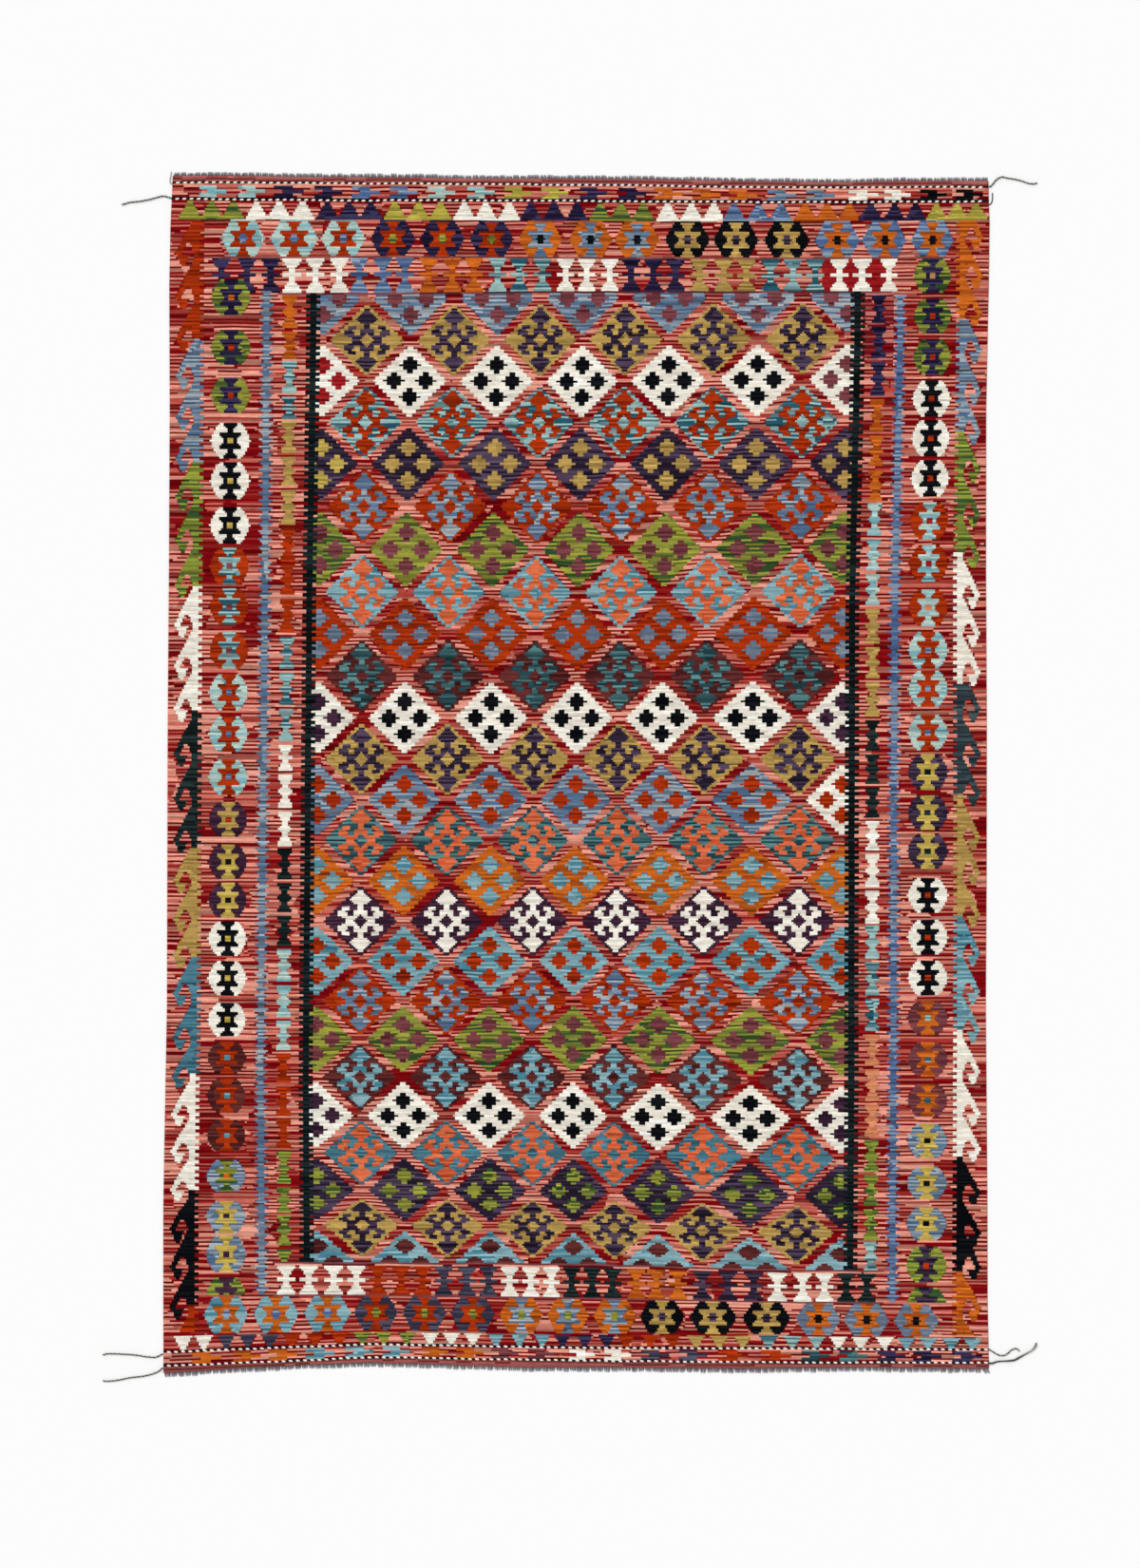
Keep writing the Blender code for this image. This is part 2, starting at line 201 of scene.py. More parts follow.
# ---------------------------------------------------------------- small charts of the motifs
DIAMOND = (18, 17, 17, 15, 15, 13, 13, 11, 11, 9, 9, 7, 7, 5, 5, 3, 3, 1, 1)
SMALL_DIAMOND = (5, 3, 3, 1, 1)
SMALL_DIAMOND_PLACE = 8  # cells or rows from the middle of the large one
HOOK_CROSS = (  # by rows from the middle: runs of cells from the middle
    ((4, 7),), ((3, 7),), ((2, 9),), ((1, 3), (7, 11)), ((0, 3), (7, 11)), ((0, 3), (8, 11)),
    ((0, 1), (6, 9)), ((0, 1), (6, 9)), ((0, 1),), ((0, 3),), ((0, 4),), ((0, 5),),
    ((0, 4),), ((0, 3),), ((0, 2),), ((0, 1),), ((0, 1),),
)
HEXAGON = (11, 10, 10, 9, 9, 8, 8, 7, 7, 6, 6)
STAR = (4, 4, 5, 6, 6, 1, 1, 2, 2, 3)
STAR_CROSS = (2, 1, 1)
SIDE_HEXAGON = (10, 9, 9, 9, 8, 8, 7, 7, 6, 5)
SIDE_STAR = (3, 3, 4, 5, 5, 1, 1, 2, 3, 3)
SIDE_STAR_CROSS = (1, 1)
HOURGLASS = (4, 1, 1, 1, 2, 2, 3, 3, 4, 4)
SIDE_HOURGLASS = (3, 2, 1, 1, 1, 2, 2, 3, 3, 3)
TRIANGLE = (1, 1, 2, 2, 3, 3, 4, 4, 5)
FOOT_TRIANGLE = (0, 1, 1, 2, 2, 3, 3, 4)
FORK = (
    "#########.....",
    "#########.....",
    "....##########",
    "....##########",
    "#########.....",
    "#########.....",
)
HOOK = (  # from the spine's inner edge outwards, one turn of the hooked border
    "###", "###", "####", "####", "#####", "#####", "######", "######", "#######", "#######",
    "########", "########", "#########", "#########", "##########", "#####..###",
    "####...###", "####....###", "####....###", "###......###", "###......###",
    "###..######", "###...#####", "###...####", "###...####", "###....###", "###....##",
)
HOOK_TOP = 14  # the row of that chart just above the hook's eye
SPINE_TEETH = (3, 2, 1, 1)

# ---------------------------------------------------------------- where the motifs stand
TWINED_LINES = (3.5, 12.0, 637.0, 644.5)
END_ROWS = (0, 1, 2, 645, 646, 647)  # past the outer twined lines
HEAD_FORK_TOP = 5
FOOT_FORK_TOP = 638
HEAD_APEX = 13  # of the triangles at the head
TRIANGLE_BASE = 22
FOOT_APEX = 636
ROSE_LINE = (43, 17, 394)  # row, first and last column
MAROON_LINES = (62, 590, 608)
MAROON_REACH = (54, 360)  # first and last column
FIELD_TOP = 63
FIELD_FOOT = 590
FIELD_FIRST_ROW = 65
FIELD_STEP = 22
FIELD_LEFT = 71
FIELD_RIGHT = 344
CROSS_COLUMNS = (97, 141, 185, 229, 273, 317)
DIAMOND_COLUMNS = (75, 119, 163, 207, 251, 295, 339)
FIELD_MOTIFS = (  # two yarns: a large diamond and the hook cross in it. More: a large diamond, its
    # small ones, those of the left and the right cut diamond, and the right cut one's own yarn
    ("steel_blue", "maroon", "maroon", "maroon"),
    ("khaki", "purple"),
    ("ivory", "black", "crimson", "maroon"),
    ("teal", "rust"),
    ("purple", "khaki", "yellow", "khaki"),
    ("rust", "steel_blue"),
    ("green", "maroon", "maroon", "maroon"),
    ("light_blue", "coral"),
    ("rust", "grey_blue", "grey_blue", "grey_blue"),
    ("brown", "dark_teal"),
    ("ivory", "black", "aubergine", "aubergine"),
    ("khaki", "purple"),
    ("steel_blue", "rust", "rust", "rust", "ivory"),
    ("dark_teal", "coral"),
    ("orange", "light_blue", "light_blue", "light_blue"),
    ("aubergine", "ivory"),
    ("light_blue", "rust", "rust", "rust"),
    ("rust", "steel_blue"),
    ("green", "maroon", "maroon", "maroon"),
    ("brown", "light_blue"),
    ("ivory", "black", "aubergine", "aubergine"),
    ("deep_teal", "coral"),
    ("purple", "green", "green", "green"),
    ("khaki", "purple"),
    ("light_blue", "brown", "brown", "brown"),
)
SHORT_ROW = 23  # the diamonds of this field row and the next are beaten down
LATTICE_ROW = 24  # the last one, with its middle on the field's foot
LATTICE_DIAMOND = (5, 4, 3, 1)
BEATEN_DOWN = 0.84  # of a diamond's full height
HEAD_FORKS = (
    ("pale_teal", (14, 34)), ("navy", (52, 71)), ("blue", (90, 109)), ("pale_teal", (128, 148)),
    ("olive", (167, 186)), ("navy", (206, 226)), ("orange", (244, 263, 281)),
    ("steel_blue", (300, 319)), ("ivory", (340, 357)), ("black", (376, 395)),
)
FOOT_FORKS = (
    ("orange", (14, 34, 52)), ("light_blue", (70, 89, 108)), ("orange", (128, 146)),
    ("maroon", (164, 183)), ("ivory", (205, 224)), ("navy_grey", (243, 262)),
    ("rust", (281, 301)), ("dark_teal", (320, 339)), ("navy", (358, 376, 395)),
)
HEAD_TRIANGLES = (
    ("green", (9, 20, 31)), ("ivory", (43, 54, 65)), ("navy", (77, 88, 99)),
    ("olive", (111, 123, 134)), ("ivory", (146, 157, 169)), ("navy", (180, 192, 204)),
    ("green", (216, 227, 238)), ("ivory", (250, 262, 273)), ("blue", (283, 295, 306)),
    ("orange", (318, 329, 340)), ("navy", (350, 362, 373)), ("olive", (384, 395, 405)),
)
FOOT_TRIANGLES = (
    ("ivory", (9, 19)), ("navy_grey", (30, 41, 52)), ("rust", (63, 74, 86)),
    ("green", (97, 108, 120)), ("ivory", (132, 143, 154)), ("light_blue", (166, 178, 190)),
    ("navy", (201, 213, 225)), ("rust", (235, 247, 258)), ("khaki", (270, 281, 292)),
    ("teal", (304, 315, 327)), ("ivory", (338, 349, 361)), ("light_blue", (372, 383, 394, 404)),
)
DEEP_PATCHES = (  # yarn, first and last row, first and last column
    ("crimson", 44, 61, 327, 357),
    ("deep_ground", 63, 99, 347, 361),
)
HEAD_HEXAGONS = (  # middle row, band of rows, then the columns and yarns of each group
    33, (23, 43), (
        ((36, 61, 85), ("pale_teal", "rust", "blue")),
        ((110, 135, 160), ("navy", "rust", "green")),
        ((185, 211, 235), ("orange", "steel_blue", "black")),
        ((260, 284, 309), ("black", "khaki", "purple")),
        ((334, 357, 382), ("blue", "orange", "black")),
    ),
)
FOOT_HEXAGONS = (
    618, (609, 628), (
        ((30, 55, 80), ("light_blue", "orange", "blue")),
        ((104, 129, 154), ("navy_grey", "rust", "green")),
        ((179, 204, 229), ("orange", "steel_blue", "green")),
        ((253, 278, 303), ("black", "khaki", "purple")),
        ((328, 352, 377), ("grey_blue", "orange", "black")),
    ),
)
HEAD_HOURGLASSES = (  # first and last row, then the yarn and columns of each group
    44, 61, (
        ("navy", (25, 38, 50)), ("ivory", (60, 71, 83)), ("blue", (93, 105, 116)),
        ("orange", (128, 140, 151)), ("teal", (163, 174, 186)), ("ivory", (198, 209, 221)),
        ("navy", (232, 243, 254)), ("khaki", (266, 278, 289)), ("teal", (301, 312, 323)),
        ("ivory", (335, 346, 359)),
    ),
)
FOOT_HOURGLASSES = (
    592, 607, (
        ("ivory", (60, 71, 83, 94)), ("rust", (105, 117, 128)), ("navy_grey", (139, 151, 162)),
        ("ivory", (173, 184, 195)), ("slate", (206, 217, 228)), ("orange", (240, 250, 261)),
        ("purple", (273, 285, 297)), ("ivory", (308, 320, 331)), ("slate", (342, 352)),
    ),
)
SIDE_HEXAGON_BAND = (44, 608)
LEFT_HEXAGONS = (  # column, then the rows and yarns of each group
    30, (
        ((64,), ("green", "navy", "orange")),
        ((91, 117), ("green", "navy", "rust")),
        ((141, 162, 185), ("ivory", "black", "yellow")),
        ((206, 227, 250), ("rust", "teal", "maroon")),
        ((272, 294, 317), ("pale_teal", "rust", "blue")),
        ((340,), ("aubergine", "khaki", "rust")),
        ((363, 384), ("aubergine", "yellow", "black")),
        ((405, 427, 450), ("ivory", "black", "yellow")),
        ((472, 494, 517), ("brown", "rust", "light_blue")),
        ((541,), ("steel_blue", "green", "orange")),
        ((566, 586), ("steel_blue", "yellow", "aubergine")),
        ((608,), ("lime", "aubergine", "lime")),
    ),
)
RIGHT_HEXAGONS = (
    382, (
        ((53,), ("green", "navy", "tan")),
        ((75, 97), ("green", "navy", "rust")),
        ((119, 140, 161), ("ivory", "black", "rust")),
        ((183, 205), ("rust", "pale_teal", "crimson")),
        ((228,), ("rust", "pale_teal", "salmon")),
        ((250, 270, 293), ("pale_teal", "rust", "blue")),
        ((314, 336, 357), ("purple", "yellow", "slate")),
        ((381, 404, 426), ("ivory", "black", "rust")),
        ((448, 471, 494), ("maroon", "orange", "teal")),
        ((517, 541, 565), ("steel_blue", "yellow", "black")),
        ((587,), ("lime", "purple", "rust")),
        ((609,), ("lime", "purple", "lime")),
    ),
)
LEFT_HOURGLASSES = (  # column, then each group's yarn and spans of rows
    59, (
        ("orange", ((62, 80), (82, 97))),
        ("teal", ((98, 115), (117, 129))),
        ("khaki", ((130, 147), (149, 164), (166, 184))),
        ("rust", ((185, 203), (204, 220), (222, 240))),
        ("teal", ((242, 259), (261, 278), (280, 297))),
        ("ivory", ((299, 313), (315, 333), (335, 354))),
        ("slate", ((355, 372), (374, 390), (392, 408))),
        ("pale_teal", ((410, 428), (430, 448), (450, 467))),
        ("rust", ((469, 486), (488, 505), (507, 524))),
        ("lime", ((526, 545), (547, 563), (565, 581), (583, 599))),
    ),
)
RIGHT_HOURGLASSES = (
    354, (
        ("navy", ((63, 78), (80, 97), (99, 117))),
        ("orange", ((119, 136), (138, 154), (156, 172))),
        ("pale_teal", ((173, 190), (192, 208), (210, 226))),
        ("khaki", ((228, 246), (248, 264), (266, 284))),
        ("slate", ((286, 302), (304, 320), (322, 338))),
        ("ivory", ((340, 356), (358, 376), (378, 396))),
        ("teal", ((397, 415), (417, 435), (437, 455))),
        ("salmon", ((457, 474), (476, 494), (496, 514))),
        ("lime", ((516, 534), (536, 554), (556, 574))),
        ("teal", ((575, 590),)),
    ),
)
SPINES = ((48, (61, 608), "steel_blue"), (365, (64, 608), "blue"))  # column, rows, yarn
COMB_COLUMNS = (70, 344)
COMB_ROWS = (62, 590)
COMB_CORE = 1  # half-widths
COMB_REACH = 3
COMB_PITCH = 7
COMB_TEETH = (0, 1, 3, 4)  # rows of each pitch
LEFT_HOOK_COLUMN = 14
LEFT_HOOK_SECTIONS = (  # yarn, first row, then the rows where its hooks' tips begin
    ("rust", 23, (35, 58, 81)),
    ("steel_blue", 87, (101, 123, 145)),
    ("lime", 153, (165, 187, 210)),
    ("ivory", 217, (231, 253, 275)),
    ("slate", 282, (299, 323, 346)),
    ("khaki", 356, (368, 389, 409)),
    ("deep_teal", 416, (430, 455, 478)),
    ("ivory", 482, (499, 521, 544)),
    ("black", 550, (568, 587, 608)),
    ("rust", 613, (631,)),
)
RIGHT_HOOK_COLUMN = 397
RIGHT_HOOK_SECTIONS = (
    ("orange", 23, (26, 48, 68)),
    ("steel_blue", 77, (88, 110, 131)),
    ("lime", 137, (151, 174, 196)),
    ("ivory", 200, (216, 236, 256)),
    ("charcoal", 268, (275, 299, 320)),
    ("khaki", 326, (344, 363, 386)),
    ("light_blue", 393, (407, 428, 449)),
    ("ivory", 455, (472, 496, 516)),
    ("black", 526, (541, 565, 582)),
    ("orange", 590, (605, 629)),
)
HOOK_FOOT = 627
HOOK_OVERHANG = 8  # rows of a hook that reach into the next yarn
TOOTH_PITCH = 4
TOOTH_ROWS = 2

# ---------------------------------------------------------------- twining, fringe and tails
STITCH_PITCH = 0.0178
STITCH_HALF_LENGTH = 0.0052
STITCH_HALF_WIDTH = 0.0025
STITCH_RISE = 0.0009
STITCH_SLANT = 0.12
STITCH_SINK = 0.0001
STITCH_END = 0.12  # of a stitch's width, at its two ends
STITCH_RINGS = 5
STITCH_SIDES = 6
STITCH_WHITE = "#e9e6dd"
STITCH_DARK = "#16161b"
FRINGE_LOCKS = 120
FRINGE_INSET = 0.0015  # from the cloth's sides
FRINGE_STRIP = 0.0025
LOCK_STRANDS = 7
LOCK_GATHER = 0.22  # how far a lock's strands come together
STRAND_SPREAD = 0.97
STRAND_SCATTER = 0.0003
STRAND_STRAY = 0.0009
SHORTEST_STRAND = 0.78
STRAND_HEIGHT = 0.0011
STRAND_DROOP = 0.0003
STRAND_LIFT = 0.0005
STRAND_HALF_WIDTHS = (0.0009, 0.0012)
STRAND_SHADES = (0.7, 1.25)
STRAND_NARROWING = 0.3  # towards its tip
STRAND_FLATNESS = 0.8
FLOOR_GAP = 0.0001
STRAND_STEPS = 4
STRAND_SIDES = 4
FRINGE_LEAN = 0.0016
CORNER_TUFT_LEAN = 0.0080  # the last lock at the foot's right corner stands out sideways
FRINGE_ROOT_DEPTH = 0.0008
FRINGE_ROOT_COLOUR = "#524e59"
FRINGE_TIP_COLOUR = "#aba5aa"
FRINGE_LENGTHS = {"head": (0.0050, 0.0085), "foot": (0.0075, 0.0110)}
TAILS = {  # name: yarn, width, length of one turn, side, y where it leaves the cloth, then its route
    "tail_head_left_outer": ("ivory", 0.0024, None, "left", 1.469, (
        (-1.0120, 1.4730), (-1.0122, 1.4780), (-1.0115, 1.4830), (-1.0105, 1.4880),
        (-1.0095, 1.4935), (-1.0095, 1.4995))),
    "tail_head_left_inner": ("black_and_ivory", 0.0044, 0.0106, "left", 1.434, (
        (-1.024, 1.438), (-1.034, 1.438), (-1.052, 1.433), (-1.063, 1.430), (-1.074, 1.428),
        (-1.084, 1.426), (-1.103, 1.424), (-1.113, 1.423), (-1.122, 1.420), (-1.132, 1.417))),
    "tail_head_right_outer": ("black_and_ivory", 0.0044, 0.0106, "right", 1.462, (
        (1.031, 1.469), (1.039, 1.479), (1.049, 1.485), (1.056, 1.486), (1.063, 1.484),
        (1.075, 1.482), (1.087, 1.480), (1.099, 1.477), (1.111, 1.473), (1.120, 1.470),
        (1.132, 1.469), (1.141, 1.471))),
    "tail_head_right_inner": ("black", 0.0024, None, "right", 1.418, (
        (1.0270, 1.4205), (1.0290, 1.4250), (1.0300, 1.4300), (1.0305, 1.4350),
        (1.0305, 1.4400), (1.0300, 1.4470))),
    "tail_foot_left_inner": ("black_and_ivory", 0.0044, 0.0106, "left", -1.437, (
        (-1.041, -1.442), (-1.051, -1.445), (-1.062, -1.444), (-1.074, -1.443), (-1.091, -1.440),
        (-1.109, -1.438), (-1.127, -1.437), (-1.146, -1.436), (-1.169, -1.436), (-1.179, -1.439))),
    "tail_foot_left_outer": ("black_and_ivory", 0.0044, 0.0106, "left", -1.472, (
        (-1.038, -1.478), (-1.050, -1.484), (-1.063, -1.488), (-1.082, -1.492), (-1.109, -1.495),
        (-1.124, -1.498), (-1.139, -1.501), (-1.154, -1.503), (-1.169, -1.504), (-1.179, -1.503))),
    "tail_foot_right_inner": ("black_and_ivory", 0.0042, 0.0125, "right", -1.426, (
        (1.029, -1.430), (1.036, -1.434), (1.043, -1.438), (1.053, -1.4405), (1.061, -1.439),
        (1.068, -1.435), (1.074, -1.429), (1.080, -1.425), (1.087, -1.423), (1.093, -1.425),
        (1.097, -1.430))),
    "tail_foot_right_outer": ("black_and_ivory", 0.0056, 0.150, "right", -1.460, (
        (1.030, -1.460), (1.041, -1.456), (1.055, -1.454), (1.069, -1.453), (1.084, -1.451),
        (1.096, -1.445), (1.107, -1.439), (1.122, -1.431), (1.131, -1.425), (1.137, -1.417),
        (1.140, -1.409))),
}
TAIL_WHITE = "#a09a92"
TAIL_DARK = "#08080b"
STRAIGHT_OUT = 0.003
SPLINE_STEPS = 12
TAIL_STEP = 0.0012
PLY_SIDES = 8
PLY_RADIUS_SHARE = 0.25  # of the tail's width
PLY_OFFSET_SHARE = 0.24
TIP_SHARE = 0.55

# ---------------------------------------------------------------- camera and light
VIEW_MIDDLE = (-0.0189, -0.0212)
VIEW_LENGTH = 3.894
LENS = 100.0
SENSOR = 36.0
FLOOR = 90.0  # half its width
ROOM_STRENGTH = 0.62
WINDOW_STRENGTH = 1.55
WINDOW_WIDTH = 35.0  # degrees across, as the rug sees it
WINDOW_PLACE = Vector((-2.6, 3.2, 5.2))


def on_table(rows, key, column):
    """The value in that column where the first one is key, in a straight line between rows."""
    if key <= rows[0][0]:
        return rows[0][column]
    if key >= rows[-1][0]:
        return rows[-1][column]
    place = bisect.bisect_right([row[0] for row in rows], key)
    low, high = rows[place - 1], rows[place]
    share = (key - low[0]) / (high[0] - low[0])
    return low[column] + share * (high[column] - low[column])


def side_edge(y, side):
    return on_table(SIDE_EDGES, y, 1 if side == "left" else 2)


def swell(x, y):
    """How far the cloth's upper face rises and falls as it lies."""
    broad = np.sin(2.3 * x + 1.7 * np.sin(1.9 * y))
    narrow = np.sin(5.1 * y + 2.2 * np.sin(2.7 * x + 0.6))
    return CLOTH_SWELL * (0.6 * broad + 0.4 * narrow)


def linear(code):
    """A display colour such as #82101a as linear red, green and blue."""
    shares = [int(code[place:place + 2], 16) / 255.0 for place in (1, 3, 5)]
    return np.array([s / 12.92 if s <= 0.04045 else ((s + 0.055) / 1.055) ** 2.4 for s in shares])


# ---------------------------------------------------------------- charting the pattern
def paint(chart, row, first, last, yarn, window=None):
    """Cells first to last of a row in that yarn, within the window's rows and columns."""
    top, foot, left, right = window or (0, ROWS, 0, COLUMNS)
    row = int(row)
    if top <= row < foot:
        chart[row, max(int(first), left):min(int(last) + 1, right)] = YARN_NUMBERS[yarn]


def shape_steps(shape, rise):
    """Each step up or down from a shape's middle row, with the shape's entry for it."""
    last = len(shape) - 1
    reach = int(last * rise + 0.5)
    return [(step, shape[min(int(abs(step) / rise + 0.5), last)]) for step in range(-reach, reach + 1)]


def paint_shape(chart, widths, row, column, yarn, window=None, rise=1.0):
    """A shape the same on its four quarters, from its half-widths by rows from the middle."""
    for step, half in shape_steps(widths, rise):
        paint(chart, row + step, column - half, column + half, yarn, window)


def paint_cross(chart, row, column, yarn, window, rise):
    """A hook cross, from its runs of cells by rows from the middle."""
    for step, runs in shape_steps(HOOK_CROSS, rise):
        for near, far in runs:
            paint(chart, row + step, column + near, column + far, yarn, window)
            paint(chart, row + step, column - far, column - near, yarn, window)


def paint_diamond(chart, row, column, yarns, window, rise, small):
    """A large stepped diamond with a hook cross in it, or four small diamonds."""
    last = column == DIAMOND_COLUMNS[-1]
    outer = yarns[4] if len(yarns) == 5 and last else yarns[0]
    paint_shape(chart, DIAMOND, row, column, outer, window, rise)
    if len(yarns) == 2:
        paint_cross(chart, row, column, yarns[1], window, rise)
        return
    inner = yarns[1]
    if column == DIAMOND_COLUMNS[0]:
        inner = yarns[2]
    if last:
        inner = yarns[3]
    away = SMALL_DIAMOND_PLACE
    for up, across in ((-away, 0), (away, 0), (0, -away), (0, away)):
        paint_shape(chart, small, row + up, column + across, inner, window)


def paint_field(chart):
    """The rows of large diamonds, from the head to the foot of the field."""
    window = (FIELD_TOP, FIELD_FOOT, FIELD_LEFT, FIELD_RIGHT)
    for number, yarns in enumerate(FIELD_MOTIFS):
        row = min(FIELD_FIRST_ROW + FIELD_STEP * number, FIELD_FOOT)
        rise = BEATEN_DOWN if number >= SHORT_ROW else 1.0
        small = LATTICE_DIAMOND if number == LATTICE_ROW else SMALL_DIAMOND
        for column in CROSS_COLUMNS if len(yarns) == 2 else DIAMOND_COLUMNS:
            paint_diamond(chart, row, column, yarns, window, rise, small)


def paint_hexagon(chart, row, column, yarns, window, shapes):
    """A hexagon, the star in it and the small cross in that, each in its own yarn."""
    for widths, yarn in zip(shapes, yarns):
        paint_shape(chart, widths, row, column, yarn, window)


def paint_hourglass(chart, first, last, column, yarn, window=None, widths=HOURGLASS):
    """An hourglass from its first row to its last, waisted halfway down."""
    middle = (first + last) / 2.0
    half_height = (last - first + 1) / 2.0
    for row in range(first, last + 1):
        share = abs(row - middle) / half_height
        half = widths[min(int(share * len(widths)), len(widths) - 1)]
        paint(chart, row, column - half, column + half, yarn, window)


def paint_triangle(chart, apex, column, yarn, downwards):
    """A stepped triangle that widens down from its apex, or up from it at the rug's foot."""
    for step, half in enumerate(FOOT_TRIANGLE if downwards else TRIANGLE):
        row = apex - step if downwards else apex + step
        paint(chart, row, column - half, column + half, yarn)


def paint_lines(chart, lines, top, start, outwards, yarn, window=None):
    """The marked cells of a small chart, whose columns run outwards from start."""
    for step, line in enumerate(lines):
        for place, mark in enumerate(line):
            if mark == "#":
                column = start + place * outwards
                paint(chart, top + step, column, column, yarn, window)


def paint_hooks(chart, spine, outwards, sections):
    """The hooked outer border: spine, steps and hooks outwards, short teeth inwards."""
    ends = [first for yarn, first, tips in sections[1:]] + [HOOK_FOOT]
    for (yarn, first, tips), end in zip(sections, ends):
        window = (first, min(end + HOOK_OVERHANG, HOOK_FOOT), 0, COLUMNS)
        for row in range(first, end):
            edges = (spine, spine + 2 * outwards)
            paint(chart, row, min(edges), max(edges), yarn)
            if row % TOOTH_PITCH < TOOTH_ROWS:
                edges = (spine - outwards, spine - 2 * outwards)
                paint(chart, row, min(edges), max(edges), yarn)
        for tip in tips:
            paint_lines(chart, HOOK, tip - HOOK_TOP, spine, outwards, yarn, window)


def paint_comb(chart, column):
    """The dark comb beside the field: a narrow core with pairs of teeth."""
    for row in range(*COMB_ROWS):
        half = COMB_REACH if row % COMB_PITCH in COMB_TEETH else COMB_CORE
        paint(chart, row, column - half, column + half, "soot")


def paint_spine(chart, column, rows, yarn):
    """The thin blue line with short teeth between the two inner borders."""
    for row in range(*rows):
        half = SPINE_TEETH[row % len(SPINE_TEETH)]
        paint(chart, row, column - half, column + half, yarn)


def paint_end_borders(chart):
    """The bands across the rug at its head and its foot."""
    for row in END_ROWS:
        paint(chart, row, 0, COLUMNS, "rose")
    for line in TWINED_LINES:
        paint(chart, line - 0.5, 0, COLUMNS, "black")
    for top, forks in ((HEAD_FORK_TOP, HEAD_FORKS), (FOOT_FORK_TOP, FOOT_FORKS)):
        for yarn, columns in forks:
            for column in columns:
                paint_lines(chart, FORK, top, column, 1, yarn)
    for yarn, columns in HEAD_TRIANGLES:
        paint(chart, TRIANGLE_BASE, columns[0] - TRIANGLE[-1], columns[-1] + TRIANGLE[-1], yarn)
        for column in columns:
            paint_triangle(chart, HEAD_APEX, column, yarn, False)
    for yarn, columns in FOOT_TRIANGLES:
        for column in columns:
            paint_triangle(chart, FOOT_APEX, column, yarn, True)
    paint(chart, *ROSE_LINE, "rose")
    for yarn, first, last, left, right in DEEP_PATCHES:
        for row in range(first, last + 1):
            paint(chart, row, left, right, yarn)
    for row in MAROON_LINES:
        paint(chart, row, *MAROON_REACH, "maroon")
    shapes = (HEXAGON, STAR, STAR_CROSS)
    for row, band, groups in (HEAD_HEXAGONS, FOOT_HEXAGONS):
        for columns, yarns in groups:
            for column in columns:
                paint_hexagon(chart, row, column, yarns, (*band, 0, COLUMNS), shapes)
    for first, last, groups in (HEAD_HOURGLASSES, FOOT_HOURGLASSES):
        for yarn, columns in groups:
            for column in columns:
                paint_hourglass(chart, first, last, column, yarn)


def paint_side_borders(chart):
    """The columns of hexagons, hourglasses, lines and hooks down both sides."""
    shapes = (SIDE_HEXAGON, SIDE_STAR, SIDE_STAR_CROSS)
    for column, groups in (LEFT_HEXAGONS, RIGHT_HEXAGONS):
        for rows, yarns in groups:
            for row in rows:
                paint_hexagon(chart, row, column, yarns, (*SIDE_HEXAGON_BAND, 0, COLUMNS), shapes)
    window = (FIELD_TOP, FIELD_FOOT, 0, COLUMNS)
    for column, groups in (LEFT_HOURGLASSES, RIGHT_HOURGLASSES):
        for yarn, spans in groups:
            for first, last in spans:
                paint_hourglass(chart, first + 1, last, column, yarn, window, SIDE_HOURGLASS)
    for spine in SPINES:
        paint_spine(chart, *spine)
    for column in COMB_COLUMNS:
        paint_comb(chart, column)
    paint_hooks(chart, LEFT_HOOK_COLUMN, -1, LEFT_HOOK_SECTIONS)
    paint_hooks(chart, RIGHT_HOOK_COLUMN, 1, RIGHT_HOOK_SECTIONS)


def chart_pattern():
    """The whole pattern as a yarn number for each cell."""
    chart = np.zeros((ROWS, COLUMNS), dtype=int)
    paint_end_borders(chart)
    paint_field(chart)
    paint_side_borders(chart)
    return chart


# ---------------------------------------------------------------- streaks of the dyed weft
def runs_of(cells):
    """(first, last, yarn number) of each stretch of one yarn along a row."""
    breaks = [0] + [place for place in range(1, len(cells)) if cells[place] != cells[place - 1]]
    ends = [place - 1 for place in breaks[1:]] + [len(cells) - 1]
    return [(first, last, int(cells[first])) for first, last in zip(breaks, ends)]


def new_area(chance):
    """Where an area of one yarn begins: how its rows lean to one tone and how far they alternate."""
    return {
        "lean": chance.uniform(-FIRST_LEAN, FIRST_LEAN),
        "swing": chance.uniform(*FIRST_SWING),
        "turn": chance.choice((-1, 1)),
    }


def next_tone(area, chance):
    """The share of the streak's tone in the next row of an area: mostly one row on, one row off."""
    area["lean"] = LEAN_KEPT * area["lean"] + chance.gauss(0.0, LEAN_DRIFT)
    swing = area["swing"] + chance.gauss(0.0, SWING_DRIFT)
    area["swing"] = min(SWING_RANGE[1], max(SWING_RANGE[0], swing))
    if chance.random() < TURN_CHANCES[area["turn"]]:
        area["turn"] = -area["turn"]
    tone = MIDDLE_TONE + area["lean"] + TONE_REACH * area["swing"] * area["turn"]
    return min(1.0, max(0.0, tone + chance.gauss(0.0, TONE_SCATTER)))


def area_above(run, above):
    """The areas of the run of the same yarn that lies longest above this one, or None."""
    first, last, yarn = run
    best, found = LEAST_SHARED * (last - first + 1), None
    for start, stop, other, areas in above:
        shared = min(last, stop) - max(first, start) + 1
        if other == yarn and shared > best:
            best, found = shared, areas
    return found


